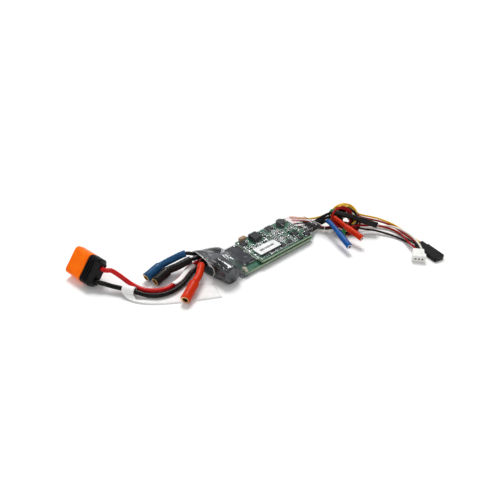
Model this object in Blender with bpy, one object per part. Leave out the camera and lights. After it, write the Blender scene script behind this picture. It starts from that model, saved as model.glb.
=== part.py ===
"""Twin-motor electronic speed controller: two stacked circuit boards and two capacitors in a clear
heat-shrink sleeve, with a battery lead and its two-pole connector, three bullet sockets for each motor,
a servo lead and a data lead that share one small hank, and a blank flag tag on the battery lead.

Sizes below are in millimetres and are turned into metres by mm(). +Z is up and the object lies on z = 0.
The origin is on the ground under the middle of the sleeve, and +X runs along the boards towards the
servo lead. A route is the list of points that a lead's centreline passes through.
"""

import math

import bmesh
import bpy
from mathutils import Matrix, Vector

MM = 0.001
GAP = 0.3  # kept between pieces that touch
FILM = 0.3  # thickness of the clear sleeve

# Circuit boards
BOARD_THICK = 1.2
BOARD_FRONT, BOARD_BACK = -14.4, 10.6
LOWER_BOARD_X = (-25.2, 30.8)
UPPER_BOARD_X = (-12.2, 29.5)
LOWER_BOARD_Z = 1.6
UPPER_BOARD_Z = 4.2
LOWER_TOP = LOWER_BOARD_Z + BOARD_THICK + GAP
UPPER_TOP = UPPER_BOARD_Z + BOARD_THICK + GAP
HEADER_WIDE = 2.0
FET_PITCH, FET_COUNT, FET_WIDE, FET_DEEP = 6.4, 6, 5.2, 5.0
FET_STRIP, FET_HIGH = 0.4, 0.9

# Capacitors: radius, length
CAPACITOR_1 = (5.3, 11.6)
CAPACITOR_2 = (4.0, 10.6)

# Leads: outer diameters
BATTERY_WIRE = 2.7
SIGNAL_WIRE = 1.3

# Battery connector: its rounded section, the lengths of its two shells, and its mouth
CONNECTOR = (16.8, 8.6, 2.6)  # width, thickness, corner radius
FRONT_SHELL_LONG, REAR_SHELL_LONG = 12.8, 8.8
MOUTH, MOUTH_DEEP = (14.2, 6.2, 1.6), 10.6
CONTACT_APART, CONTACT_RADIUS, CONTACT_LONG = 7.4, 1.6, 5.2
CONNECTOR_JOINT = (-92.9, 42.6, 8.1)  # centre of the face between its shells
CONNECTOR_YAW, CONNECTOR_ROLL = 98.5, -47.5  # its mouth faces +X before these turns

# Hank of signal wire: a ring that leans back on its lowest turns
HANK_CENTRE = (56.3, -18.4, 6.6)


def mm(*lengths):
    return Vector(lengths) * MM


def clear_scene():
    for old in list(bpy.data.objects):
        bpy.data.objects.remove(old)


def plain(name, colour, roughness, metallic=0.0, alpha=1.0):
    """A Principled material in one colour."""
    material = bpy.data.materials.new(name)
    material.use_nodes = True
    shader = material.node_tree.nodes["Principled BSDF"]
    shader.inputs["Base Color"].default_value = (*colour, 1.0)
    shader.inputs["Roughness"].default_value = roughness
    shader.inputs["Metallic"].default_value = metallic
    shader.inputs["Alpha"].default_value = alpha
    return material


def add(name, data, material):
    """A new object in the scene that holds this mesh or curve."""
    made = bpy.data.objects.new(name, data)
    made.data.materials.append(material)
    bpy.context.scene.collection.objects.link(made)
    return made


def add_mesh(name, form, material):
    """A new object from a bmesh, with its faces turned outwards and its round sides smooth."""
    bmesh.ops.recalc_face_normals(form, faces=form.faces)
    mesh = bpy.data.meshes.new(name)
    form.to_mesh(mesh)
    form.free()
    mesh.shade_smooth()
    mesh.set_sharp_from_angle(angle=math.radians(35))
    return add(name, mesh, material)


def box_mesh(form, low, high):
    """Adds a box between two corners, in millimetres, to a bmesh."""
    made = bmesh.ops.create_cube(form, size=1.0)["verts"]
    size = Vector(high) - Vector(low)
    centre = (Vector(high) + Vector(low)) / 2
    bmesh.ops.scale(form, vec=size * MM, verts=made)
    bmesh.ops.translate(form, vec=centre * MM, verts=made)


def block(name, low, high, material, chamfer=0.0):
    """A box between two corners, in millimetres, with its edges chamfered."""
    form = bmesh.new()
    box_mesh(form, low, high)
    made = add_mesh(name, form, material)
    if chamfer:
        bevel = made.modifiers.new("chamfer", "BEVEL")
        bevel.width = chamfer * MM
        bevel.segments = 1
    return made


def chip(name, centre, size, material, top=UPPER_TOP):
    """A component that stands on a board, from its middle (x, y) and its size."""
    x, y = centre
    wide, deep, high = size
    low = (x - wide / 2, y - deep / 2, top)
    return block(name, low, (x + wide / 2, y + deep / 2, top + high), material, chamfer=0.15)


def extruded(name, outline, length, material):
    """A closed outline in its own XY plane, in millimetres, extruded along +Z."""
    form = bmesh.new()
    face = form.faces.new([form.verts.new(mm(x, y, 0)) for x, y in outline])
    made = bmesh.ops.extrude_face_region(form, geom=[face])["geom"]
    moved = [item for item in made if isinstance(item, bmesh.types.BMVert)]
    bmesh.ops.translate(form, vec=mm(0, 0, length), verts=moved)
    return add_mesh(name, form, material)


def rounded_outline(wide, thick, radius, steps=4):
    """A rectangle with round corners, as a list of points round its middle."""
    points = []
    for corner, (sx, sy) in enumerate(((1, 1), (-1, 1), (-1, -1), (1, -1))):
        for step in range(steps + 1):
            angle = math.radians(90) * (corner + step / steps)
            x = sx * (wide / 2 - radius) + radius * math.cos(angle)
            y = sy * (thick / 2 - radius) + radius * math.sin(angle)
            points.append((x, y))
    return points


def turned(name, profile, material, start, towards, sides=20, closed=False):
    """A turned piece. Its profile is (radius, distance along the axis) in millimetres: closed for a tube
    or a ring, and otherwise a line that starts and ends on the axis."""
    form = bmesh.new()
    rings = []
    for radius, along in profile:
        count = sides if radius else 1
        angles = [math.tau * i / sides for i in range(count)]
        ring = [form.verts.new(mm(radius * math.cos(a), radius * math.sin(a), along)) for a in angles]
        rings.append(ring)
    pairs = list(zip(rings, rings[1:]))
    if closed:
        pairs.append((rings[-1], rings[0]))
    for ring, following in pairs:
        for i in range(sides):
            j = (i + 1) % sides
            corners = [ring[i % len(ring)], ring[j % len(ring)]]
            corners += [following[j % len(following)], following[i % len(following)]]
            form.faces.new(list(dict.fromkeys(corners)))
    made = add_mesh(name, form, material)
    axis = Vector(towards) - Vector(start)
    made.matrix_world = Matrix.Translation(mm(*start)) @ axis.to_track_quat("Z", "Y").to_matrix().to_4x4()
    return made


def smooth_line(route, spacing):
    """Points about this far apart on a smooth curve through the route's points."""
    points = [Vector(p) for p in route]
    spans = [(b - a).length for a, b in zip(points, points[1:])]
    slopes = [(points[1] - points[0]) / spans[0]]
    for i in range(1, len(points) - 1):
        slopes.append((points[i + 1] - points[i - 1]) / (spans[i - 1] + spans[i]))
    slopes.append((points[-1] - points[-2]) / spans[-1])
    fine = []
    steps = 12
    for i, span in enumerate(spans):
        for step in range(steps):
            t = step / steps
            near = points[i] * (1 + 2 * t) * (1 - t) ** 2 + slopes[i] * span * t * (1 - t) ** 2
            far = points[i + 1] * t * t * (3 - 2 * t) + slopes[i + 1] * span * t * t * (t - 1)
            fine.append(near + far)
    fine.append(points[-1])
    lengths = [(b - a).length for a, b in zip(fine, fine[1:])]
    count = max(2, round(sum(lengths) / spacing))
    line, passed, i = [fine[0]], 0.0, 0
    for k in range(1, count):
        wanted = sum(lengths) * k / count
        while passed + lengths[i] < wanted:
            passed += lengths[i]
            i += 1
        line.append(fine[i].lerp(fine[i + 1], (wanted - passed) / lengths[i]))
    line.append(fine[-1])
    return line


def wire_along(name, line, diameter, material):
    """A round wire through these points, with closed ends."""
    curve = bpy.data.curves.new(name, "CURVE")
    curve.dimensions = "3D"
    curve.bevel_depth = diameter / 2 * MM
    curve.bevel_resolution = 2
    curve.use_fill_caps = True
    spline = curve.splines.new("POLY")
    spline.points.add(len(line) - 1)
    for point, place in zip(spline.points, line):
        point.co = (*(place * MM), 1.0)
    return add(name, curve, material)


def cord(name, route, diameter, material):
    """A round wire along a smooth curve through its route."""
    return wire_along(name, smooth_line(route, 2.5 * diameter), diameter, material)


def between(start, end, distance):
    """The point this far from start on the way to end."""
    return start + (end - start).normalized() * distance


def swept_tube(name, stations, material, sides=16):
    """A tube with a wall, through stations of (centre, outer radius, inner radius) in millimetres."""
    centres = [Vector(centre) for centre, _, _ in stations]
    form = bmesh.new()
    outer, inner = [], []
    across = None
    for i, (_, outside, inside) in enumerate(stations):
        ahead = (centres[min(i + 1, len(centres) - 1)] - centres[max(i - 1, 0)]).normalized()
        across = ahead.orthogonal() if across is None else across - ahead * across.dot(ahead)
        across.normalize()
        upward = ahead.cross(across)
        for rings, radius in ((outer, outside), (inner, inside)):
            turns = [math.tau * k / sides for k in range(sides)]
            points = [centres[i] + (across * math.cos(a) + upward * math.sin(a)) * radius for a in turns]
            rings.append([form.verts.new(p * MM) for p in points])
    loop = outer + inner[::-1]
    for ring, following in zip(loop, loop[1:] + loop[:1]):
        for k in range(sides):
            j = (k + 1) % sides
            form.faces.new((ring[k], ring[j], following[j], following[k]))
    return add_mesh(name, form, material)


# ---------------------------------------------------------------- boards and what stands on them


def make_boards(paint):
    for name, (left, right), bottom in (
        ("lower_board", LOWER_BOARD_X, LOWER_BOARD_Z),
        ("upper_board", UPPER_BOARD_X, UPPER_BOARD_Z),
    ):
        low = (left, BOARD_FRONT, bottom)
        block(name, low, (right, BOARD_BACK, bottom + BOARD_THICK), paint["board"])
    left, right = UPPER_BOARD_X
    for name, y in (("front_header", BOARD_FRONT + 1.0), ("rear_header", BOARD_BACK - 3.0)):
        low = (left + 1.5, y, LOWER_TOP)
        block(name, low, (right - 1.5, y + HEADER_WIDE, UPPER_BOARD_Z - GAP), paint["black_plastic"])


def make_mosfet_bank(name, y, paint):
    """Six transistors in a row, joined by the copper strip under them."""
    pitch, wide = FET_PITCH, FET_WIDE
    left = (UPPER_BOARD_X[0] + UPPER_BOARD_X[1] - pitch * FET_COUNT) / 2
    outline = [(left, 0.0), (left + pitch * FET_COUNT, 0.0), (left + pitch * FET_COUNT, FET_STRIP)]
    for i in reversed(range(FET_COUNT)):
        start = left + i * pitch + (pitch - wide) / 2
        outline += [
            (start + wide, FET_STRIP), (start + wide, FET_HIGH), (start, FET_HIGH), (start, FET_STRIP),
        ]
    outline.append((left, FET_STRIP))
    bank = extruded(name, outline, FET_DEEP, paint["chip"])
    bank.location = mm(0, y + FET_DEEP, LOWER_TOP)
    bank.rotation_euler = (math.radians(90), 0, 0)


def make_components(paint):
    make_mosfet_bank("front_mosfet_bank", -10.4, paint)
    make_mosfet_bank("rear_mosfet_bank", 0.6, paint)
    block("heat_spreader", (-21.6, -8.8, LOWER_TOP), (-13.0, 9.6, 5.1), paint["heat_spreader"], 0.3)
    chip("controller_chip", (-2.4, -8.4), (10.0, 7.0, 1.0), paint["chip"])
    chip("front_driver_chip", (21.3, -12.0), (3.6, 3.4, 0.9), paint["chip"])
    chip("rear_driver_chip", (21.3, -6.8), (4.4, 4.2, 0.9), paint["chip"])
    chip("regulator_chip", (13.2, 7.6), (4.6, 3.8, 1.3), paint["chip"])
    chip("sense_chip", (-9.8, 5.4), (4.0, 4.0, 1.1), paint["chip"])
    chip("square_inductor", (-0.2, 5.6), (5.8, 6.6, 2.7), paint["ferrite"])
    chip("ceramic_capacitor", (-7.4, 9.2), (4.6, 2.4, 2.3), paint["ceramic"])
    radius, high = 3.1, 2.7
    profile = [
        (0, 0), (radius - 0.4, 0), (radius, 0.4), (radius, high - 0.4),
        (radius - 0.4, high), (0, high),
    ]
    turned("round_inductor", profile, paint["ferrite"], (22.6, 6.6, UPPER_TOP), (22.6, 6.6, 20.0))
    block("blank_label", (-10.4, -11.1, 7.0), (6.2, -3.9, 7.2), paint["label"])


def make_capacitor(name, size, start, towards, paint):
    """A can with a rolled groove near the end that holds its rubber bung."""
    radius, length = size
    groove, width = 0.5, 1.0
    profile = [
        (0, 0),
        (radius - groove, 0),
        (radius, groove),
        (radius, width * 1.5),
        (radius - groove, width * 2),
        (radius, width * 2.5),
        (radius, length - groove),
        (radius - groove, length),
        (0, length),
    ]
    turned(name, profile, paint["capacitor"], start, towards, sides=28)


def make_capacitors(paint):
    make_capacitor("front_capacitor", CAPACITOR_1, (-34.6, -2.0, 5.9), (-34.6, -13.6, 5.9), paint)
    make_capacitor("rear_capacitor", CAPACITOR_2, (-27.0, 1.8, 5.4), (-37.0, 3.8, 7.6), paint)


# ---------------------------------------------------------------- clear sleeve

# Sections of the sleeve, left to right: x, front, back, bottom, top, radius of the top corners.
SLEEVE_SECTIONS = [
    (-40.7, 1.6, 15.0, 0.6, 11.0, 1.8),
    (-40.4, -13.4, 15.2, 0.0, 11.9, 2.8),
    (-37.0, -15.2, 15.2, 0.0, 12.4, 3.0),
    (-30.0, -15.2, 14.8, 0.0, 12.2, 3.0),
    (-24.5, -15.2, 14.2, 0.0, 9.8, 3.0),
    (-18.0, -15.2, 13.6, 0.0, 8.6, 2.6),
    (-10.0, -15.2, 13.2, 0.0, 9.8, 2.2),
    (8.0, -15.2, 13.0, 0.0, 9.9, 2.2),
    (26.0, -15.2, 12.4, 0.0, 9.8, 2.4),
    (31.5, -15.2, 11.4, 0.0, 8.6, 2.4),
    (36.5, -12.6, 9.4, 0.0, 7.2, 2.4),
    (40.7, -9.4, 6.6, 0.3, 6.6, 2.4),
]
SLEEVE_FOOT = 1.0  # radius of its bottom corners
CORNER_STEPS = 4


def sleeve_ring(front, back, bottom, top, radius):
    """The section's outline, (y, z), with round corners."""
    corners = (
        (back - radius, top - radius, radius, 0),
        (front + radius, top - radius, radius, 90),
        (front + SLEEVE_FOOT, bottom + SLEEVE_FOOT, SLEEVE_FOOT, 180),
        (back - SLEEVE_FOOT, bottom + SLEEVE_FOOT, SLEEVE_FOOT, 270),
    )
    points = []
    for y, z, around, first in corners:
        for step in range(CORNER_STEPS + 1):
            angle = math.radians(first + 90 * step / CORNER_STEPS)
            points.append((y + around * math.cos(angle), z + around * math.sin(angle)))
    return points


def make_sleeve(paint):
    """A thin tube, open at both ends, that is drawn in round the leads at each end."""
    form = bmesh.new()
    rings = []
    for x, *section in SLEEVE_SECTIONS:
        rings.append([form.verts.new(mm(x, y, z)) for y, z in sleeve_ring(*section)])
    for ring, following in zip(rings, rings[1:]):
        for i in range(len(ring)):
            j = (i + 1) % len(ring)
            form.faces.new((ring[i], ring[j], following[j], following[i]))
    sleeve = add_mesh("clear_sleeve", form, paint["sleeve"])
    film = sleeve.modifiers.new("film", "SOLIDIFY")
    film.thickness = FILM * MM
    film.offset = -1


# ---------------------------------------------------------------- battery lead and its connector


def connector_frame():
    """The connector's own frame: +X out of its mouth, Y across its width, the origin between its shells."""
    turn = Matrix.Rotation(math.radians(CONNECTOR_YAW), 4, "Z")
    roll = Matrix.Rotation(math.radians(CONNECTOR_ROLL), 4, "X")
    return Matrix.Translation(mm(*CONNECTOR_JOINT)) @ turn @ roll


def on_connector(x, y, z=0.0):
    """A point of the connector's frame, in the object's frame, in millimetres."""
    return connector_frame() @ mm(x, y, z) / MM


def on_axis(name, section, start, length, material):
    """A rounded section (width, thickness, corner radius) extruded along the connector, from start."""
    made = extruded(name, rounded_outline(*section), length, material)
    # The outline's X and Y become the connector's Y and Z, and its extrusion the connector's X.
    upright = Matrix(((0, 0, 1, 0), (1, 0, 0, 0), (0, 1, 0, 0), (0, 0, 0, 1)))
    made.matrix_world = connector_frame() @ Matrix.Translation(mm(start, 0, 0)) @ upright
    return made


def make_connector(paint):
    front = on_axis("connector_front_shell", CONNECTOR, GAP, FRONT_SHELL_LONG - GAP, paint["orange_plastic"])
    floor = FRONT_SHELL_LONG - MOUTH_DEEP
    mouth = on_axis("mouth_cutter", MOUTH, floor, 2 * MOUTH_DEEP, paint["orange_plastic"])
    mouth.hide_render = True
    mouth.display_type = "WIRE"
    cut = front.modifiers.new("mouth", "BOOLEAN")
    cut.object = mouth
    on_axis("connector_rear_shell", CONNECTOR, -REAR_SHELL_LONG, REAR_SHELL_LONG, paint["black_plastic"])
    for name, side in (("positive_contact", -1), ("negative_contact", 1)):
        y = side * CONTACT_APART / 2
        tip = CONTACT_RADIUS * 0.4
        profile = [
            (0, 0),
            (CONTACT_RADIUS, 0),
            (CONTACT_RADIUS, CONTACT_LONG - tip),
            (CONTACT_RADIUS - tip, CONTACT_LONG),
            (0, CONTACT_LONG),
        ]
        start = on_connector(floor + GAP, y)
        turned(name, profile, paint["gold"], start, on_connector(FRONT_SHELL_LONG, y), sides=16)


# The battery leads leave the back of the connector and end in the sleeve, at the boards' left edge.
RED_LEAD_REST = [
    (-86.2, 30.2, 10.6),
    (-83.4, 25.3, 7.9),
    (-80.8, 20.4, 4.5),
    (-78.4, 15.6, 2.7),
    (-75.4, 11.0, 2.0),
    (-71.6, 7.6, 2.0),
    (-67.0, 5.4, 2.0),
    (-61.2, 5.8, 2.0),
    (-55.3, 8.0, 1.9),
    (-50.8, 10.4, 1.8),
    (-45.6, 12.9, 2.0),
    (-40.5, 13.0, 2.4),
    (-34.0, 12.6, 2.6),
    (-27.5, 11.8, 2.6),
]
BLACK_LEAD_REST = [
    (-91.6, 29.2, 4.4),
    (-89.8, 26.0, 4.0),
    (-87.3, 22.0, 3.8),
    (-84.6, 18.2, 3.5),
    (-81.4, 13.6, 2.7),
    (-78.2, 8.2, 2.1),
    (-74.0, 4.0, 2.0),
    (-68.8, 1.8, 2.0),
    (-63.6, 1.4, 2.0),
    (-57.8, 2.6, 1.9),
    (-52.4, 5.0, 1.8),
    (-47.4, 7.6, 1.8),
    (-41.0, 9.2, 2.0),
    (-34.0, 9.3, 2.1),
    (-27.5, 8.6, 2.2),
]


def make_battery_leads(paint):
    for name, side, rest, colour in (
        ("battery_lead_red", -1, RED_LEAD_REST, "red_silicone"),
        ("battery_lead_black", 1, BLACK_LEAD_REST, "black_silicone"),
    ):
        y = side * CONTACT_APART / 2
        start = on_connector(-REAR_SHELL_LONG - 2 * GAP, y)
        straight = on_connector(-REAR_SHELL_LONG - BATTERY_WIRE, y)
        cord(name, [start, straight, *rest], BATTERY_WIRE, paint[colour])


# ---------------------------------------------------------------- flag tag on the black battery lead

TAG_THICK = 0.25
TAG_LOOP_RADIUS = 2.3
TAG_LOOP_ENDS = ((-85.6, 19.6, 3.7), (-81.6, 13.9, 3.0))  # on the black lead's centreline
# The flag's two long edges, from under the loop to its far end.
TAG_FRONT_EDGE = [
    (-87.4, 15.0, 1.5),
    (-85.4, 9.2, 1.0),
    (-81.2, 3.4, 0.6),
    (-75.6, -1.8, 0.3),
    (-67.6, -7.4, 0.2),
    (-58.0, -13.0, 0.2),
    (-46.8, -19.2, 0.2),
]
TAG_BACK_EDGE = [
    (-83.6, 9.4, 0.9),
    (-80.0, 7.2, 0.3),
    (-74.4, 8.6, 0.2),
    (-67.0, 9.0, 0.2),
    (-59.8, 5.6, 0.2),
    (-51.4, 0.4, 0.2),
    (-43.0, -6.8, 0.2),
]
TAG_TAIL_ROUTE = [
    (-62.4, 4.0, 4.0), (-57.4, 5.0, 4.0), (-52.0, 7.6, 4.1), (-47.2, 9.8, 4.4),
    (-43.8, 10.6, 4.6),
]
TAG_TAIL_WIDE = 2.6


def sheet_object(name, rows, thick, material):
    """A thin sheet through rows of points in millimetres."""
    form = bmesh.new()
    grid = [[form.verts.new(Vector(point) * MM) for point in row] for row in rows]
    for near, far in zip(grid, grid[1:]):
        for i in range(len(near) - 1):
            form.faces.new((near[i], near[i + 1], far[i + 1], far[i]))
    made = add_mesh(name, form, material)
    paper = made.modifiers.new("paper", "SOLIDIFY")
    paper.thickness = thick * MM
    paper.offset = 0
    return made


def make_tag(paint):
    """A strip that goes over the black lead in a loose loop and then lies on the ground as a flag."""
    near_end, far_end = (Vector(point) for point in TAG_LOOP_ENDS)
    along = (far_end - near_end).normalized()
    outward = along.cross(Vector((0, 0, 1))).normalized()
    upward = outward.cross(along)
    rows = []
    steps = 10
    for step in range(steps):
        angle = math.radians(-60 + 250 * step / (steps - 1))
        reach = (upward * math.sin(angle) - outward * math.cos(angle)) * TAG_LOOP_RADIUS
        rows.append((near_end + reach, far_end + reach))
    rows += list(zip(TAG_FRONT_EDGE, TAG_BACK_EDGE))
    sheet_object("blank_flag_tag", rows, TAG_THICK, paint["label"])
    half = TAG_TAIL_WIDE / 2
    tail_rows = []
    for x, y, z in smooth_line(TAG_TAIL_ROUTE, 2.5):
        tail_rows.append(((x + half * 0.5, y - half * 0.85, z), (x - half * 0.5, y + half * 0.85, z + 0.5)))
    sheet_object("tag_tail", tail_rows, TAG_THICK, paint["label"])


# ---------------------------------------------------------------- motor leads

# Radii of the shrink sleeve's two widths, of the socket and of its bore, the sleeve's wall, and the
# wire's diameter.
WIDE_BULLET = {"outside": 2.9, "neck": 1.85, "socket": 2.3, "bore": 1.75, "wall": 0.35, "wire": 2.3}
SLIM_BULLET = {"outside": 1.95, "neck": 1.5, "socket": 1.4, "bore": 1.0, "wall": 0.3, "wire": 1.8}
# A motor lead: its name, its sleeve's colour, its size, the wire's route up to the sleeve, and the sleeve's
# route: its start, a bend, the step where it widens, and its open end.
MOTOR_LEADS = (
    (
        "motor_1_blue",
        "blue_shrink",
        WIDE_BULLET,
        [(-25.8, 10.2, 6.6), (-32.0, 12.2, 7.4), (-38.0, 12.9, 8.6), (-41.4, 13.6, 9.4)],
        [(-44.7, 16.2, 10.0), (-53.4, 18.9, 8.0), (-59.4, 20.9, 5.8), (-71.3, 19.4, 3.3)],
    ),
    (
        "motor_1_black",
        "black_shrink",
        WIDE_BULLET,
        [(-25.8, 7.8, 7.9), (-33.0, 9.6, 8.0), (-38.6, 10.4, 7.8)],
        [(-44.4, 12.0, 7.6), (-53.0, 13.4, 6.2), (-58.2, 14.9, 5.2), (-69.3, 13.3, 3.1)],
    ),
    (
        "motor_1_red",
        "red_shrink",
        WIDE_BULLET,
        [(-25.8, 8.4, 5.2), (-32.0, 9.4, 5.3), (-38.2, 9.2, 5.6), (-40.9, 7.2, 6.6)],
        [(-42.8, 4.4, 7.2), (-48.7, -1.4, 6.6), (-53.6, -4.2, 5.8), (-65.9, -11.0, 3.4)],
    ),
    (
        "motor_2_black",
        "black_shrink",
        SLIM_BULLET,
        [(31.6, -3.4, 4.6), (36.6, -3.8, 4.9), (40.9, -4.8, 5.0), (46.4, -8.6, 9.4)],
        [(50.6, -12.4, 12.0), (54.8, -18.2, 11.4), (60.4, -25.2, 9.4), (67.8, -36.2, 6.2)],
    ),
    (
        "motor_2_red",
        "red_shrink",
        SLIM_BULLET,
        [(31.6, -6.6, 4.6), (36.6, -7.0, 4.9), (41.0, -7.4, 4.9), (45.4, -9.8, 8.2)],
        [(48.6, -13.6, 10.2), (49.0, -19.0, 9.6), (48.9, -25.0, 8.4), (48.7, -39.4, 6.2)],
    ),
    (
        "motor_2_blue",
        "blue_shrink",
        SLIM_BULLET,
        [(31.6, -9.6, 4.4), (36.2, -9.2, 3.4), (40.8, -7.8, 2.4), (43.8, -9.6, 5.4)],
        [(45.2, -13.0, 8.2), (44.0, -18.6, 8.0), (42.0, -25.2, 7.0), (37.4, -38.9, 5.0)],
    ),
)


def make_motor_lead(name, shrink, bullet, wire_route, shrink_route, paint):
    """A wire, the bullet socket on its end, and the stepped shrink sleeve over the two."""
    start, bend, step, tip = (Vector(point) for point in shrink_route)
    back = between(step, tip, 2.2)
    line = smooth_line([*wire_route, start, bend, step, between(step, tip, 2.2 - GAP)], 2.5 * bullet["wire"])
    ahead = (tip - step).normalized()
    wall, bore = bullet["wall"], bullet["bore"]
    neck_inside = bullet["neck"] - wall
    wide_inside = bullet["outside"] - wall
    widened = step + ahead * 1.2
    first = min(range(len(line)), key=lambda i: (line[i] - start).length)
    covered = [point for point in line[first:] if (step - point).dot(ahead) > 0]
    stations = [(point, bullet["neck"], neck_inside) for point in covered]
    stations += [(widened, bullet["outside"], wide_inside), (tip, bullet["outside"], wide_inside)]
    swept_tube(name + "_shrink", stations, paint[shrink])
    mouth = tip - ahead * 0.4
    long = (mouth - back).length
    profile = [
        (0, 0),
        (bullet["socket"], 0),
        (bullet["socket"], long),
        (bore, long),
        (bore, 1.2),
        (0, 1.2),
    ]
    turned(name + "_socket", profile, paint["gold"], back, mouth, sides=16)
    wire_along(name + "_wire", line, bullet["wire"], paint["black_silicone"])


# ---------------------------------------------------------------- servo lead, data lead and their hank

HANK_AXIS = Vector((-0.20, -0.36, 0.91)).normalized()
# Its cross-section, (distance from the axis, height along it), with chamfered corners.
HANK_SECTION = [
    (7.0, -1.5), (9.2, -1.5), (9.9, -0.8), (9.9, 0.8),
    (9.2, 1.5), (7.0, 1.5), (6.3, 0.8), (6.3, -0.8),
]

# Each signal wire's route from the boards to the hank, then the bearing about the hank's axis at which it
# meets it, in degrees from +X towards +Y, and how far along the axis.
STUB_ROUTES = {
    "servo_yellow": (
        [
            (32.0, 7.6, 6.6), (36.0, 4.8, 5.8), (41.2, 0.6, 5.2), (45.0, -2.6, 5.0),
            (48.6, -4.6, 6.4),
        ],
        104,
        0.0,
    ),
    "servo_red": (
        [
            (32.0, 5.6, 5.4), (36.0, 3.2, 4.6), (41.2, -0.4, 3.6), (44.6, -3.9, 3.6),
            (47.6, -6.0, 5.2),
        ],
        113,
        0.0,
    ),
    "servo_black": (
        [
            (32.0, 3.6, 3.8), (36.0, 2.2, 3.0), (41.0, 0.8, 2.2), (44.2, -1.6, 2.2),
            (46.2, -6.6, 3.4),
        ],
        122,
        0.0,
    ),
    "data_red": (
        [
            (32.0, 1.2, 2.4), (36.4, 0.6, 1.8), (41.0, -1.0, 1.3), (45.2, -5.8, 1.3),
            (45.4, -11.0, 1.6),
        ],
        174,
        -0.9,
    ),
    "data_black": (
        [
            (32.0, -0.6, 2.4), (36.4, -1.2, 1.8), (40.8, -2.8, 1.3), (43.6, -7.2, 1.3),
            (43.6, -12.0, 1.8),
        ],
        185,
        -0.9,
    ),
    "data_white": (
        [
            (32.0, -2.4, 2.4), (36.4, -3.0, 1.8), (40.2, -5.0, 1.4), (41.9, -8.6, 1.3),
            (41.2, -13.4, 2.0),
        ],
        196,
        -0.9,
    ),
}
# The bearing at which each leaves the hank, its route from there, and its place across its plug.
END_ROUTES = {
    "servo_yellow": (
        (-4, 0.9),
        [
            (73.3, -23.1, 5.0), (76.3, -26.3, 4.5), (79.5, -32.2, 3.5), (81.3, -39.2, 2.7),
            (81.2, -46.0, 2.0), (80.0, -52.9, 1.6),
        ],
        1.9,
    ),
    "servo_red": (
        (-14, 0.9),
        [
            (71.8, -25.4, 4.6), (74.8, -28.8, 4.0), (77.8, -33.6, 3.2), (79.7, -39.6, 2.5),
            (79.5, -46.0, 1.9), (78.2, -52.6, 1.6),
        ],
        0.0,
    ),
    "servo_black": (
        (-24, 0.9),
        [
            (70.6, -27.2, 3.6), (73.2, -31.0, 2.4), (76.2, -35.4, 1.6), (78.0, -40.2, 1.2),
            (77.7, -46.0, 1.0), (76.2, -52.4, 1.2),
        ],
        -1.9,
    ),
    "data_red": (
        (-44, 0.9),
        [
            (68.2, -31.0, 4.4), (71.2, -36.0, 4.4), (74.2, -41.2, 3.9), (75.6, -46.7, 3.2),
            (74.1, -52.8, 2.9), (70.6, -58.6, 2.9),
        ],
        -2.0,
    ),
    "data_black": (
        (-54, 0.9),
        [
            (65.6, -32.0, 2.6), (68.6, -37.4, 2.0), (71.6, -43.4, 1.4), (73.4, -49.4, 1.0),
            (73.4, -54.6, 1.0), (71.8, -60.2, 1.5),
        ],
        0.0,
    ),
    "data_white": (
        (-34, 0.9),
        [
            (69.4, -28.6, 3.2), (72.9, -34.0, 2.9), (76.2, -41.0, 4.6), (78.1, -48.4, 4.4),
            (76.8, -55.4, 4.4), (74.4, -61.4, 4.4),
        ],
        2.0,
    ),
}
SIGNAL_COLOURS = {
    "servo_yellow": "yellow_wire",
    "servo_red": "red_wire",
    "servo_black": "black_wire",
    "data_red": "red_wire",
    "data_black": "black_wire",
    "data_white": "white_wire",
}

# Each plug: the middle of its mouth on the ground, the way its mouth faces in degrees from +X, its size
# along its leads, across them and high, and the height at which the wires go in.
DATA_PLUG = {"mouth": (61.8, -71.9, 0.1), "turn": 219.7, "size": (8.0, 7.9, 4.5), "entry": (8.0, 3.3)}
SERVO_PLUG = {"mouth": (72.7, -79.4, 0.1), "turn": 258.0, "size": (14.0, 7.6, 2.6), "entry": (18.2, 1.4)}


def on_hank(bearing, radius, height):
    """A point of the hank's own frame, in the object's frame, in millimetres."""
    across = Vector((1, 0, 0)) - HANK_AXIS * HANK_AXIS.x
    across.normalize()
    upward = HANK_AXIS.cross(across)
    angle = math.radians(bearing)
    reach = (across * math.cos(angle) + upward * math.sin(angle)) * radius
    return Vector(HANK_CENTRE) + reach + HANK_AXIS * height


def plug_entry(plug, offset, clear):
    """A point straight behind the plug's wire entry, this far clear of it and this far across."""
    behind, height = plug["entry"]
    angle = math.radians(plug["turn"])
    ahead = Vector((math.cos(angle), math.sin(angle), 0))
    across = Vector((-ahead.y, ahead.x, 0))
    x, y, z = plug["mouth"]
    return Vector((x, y, z + height)) - ahead * (behind + clear) + across * offset


def make_signal_leads(paint):
    centre = Vector(HANK_CENTRE)
    turned("lead_hank", HANK_SECTION, paint["yellow_wire"], centre, centre + HANK_AXIS, sides=32, closed=True)
    outside = max(radius for radius, _ in HANK_SECTION)
    for name, (route, bearing, height) in STUB_ROUTES.items():
        met = [on_hank(bearing, outside + 2.4, height), on_hank(bearing, outside + GAP, height)]
        cord(name + "_stub", [*route, *met], SIGNAL_WIRE, paint[SIGNAL_COLOURS[name]])
    for name, ((bearing, height), route, offset) in END_ROUTES.items():
        plug = SERVO_PLUG if name.startswith("servo") else DATA_PLUG
        left = [on_hank(bearing, outside + GAP, height), on_hank(bearing, outside + 2.4, height)]
        end = [plug_entry(plug, offset, 2.6), plug_entry(plug, offset, GAP)]
        cord(name + "_wire", [*left, *route, *end], SIGNAL_WIRE, paint[SIGNAL_COLOURS[name]])


def housing(name, plug, outline, material):
    """A plug's housing, from its outline seen from above with +X out of its mouth and the origin there."""
    made = extruded(name, outline, plug["size"][2], material)
    made.location = mm(*plug["mouth"])
    made.rotation_euler = (0, 0, math.radians(plug["turn"]))
    return made


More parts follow.
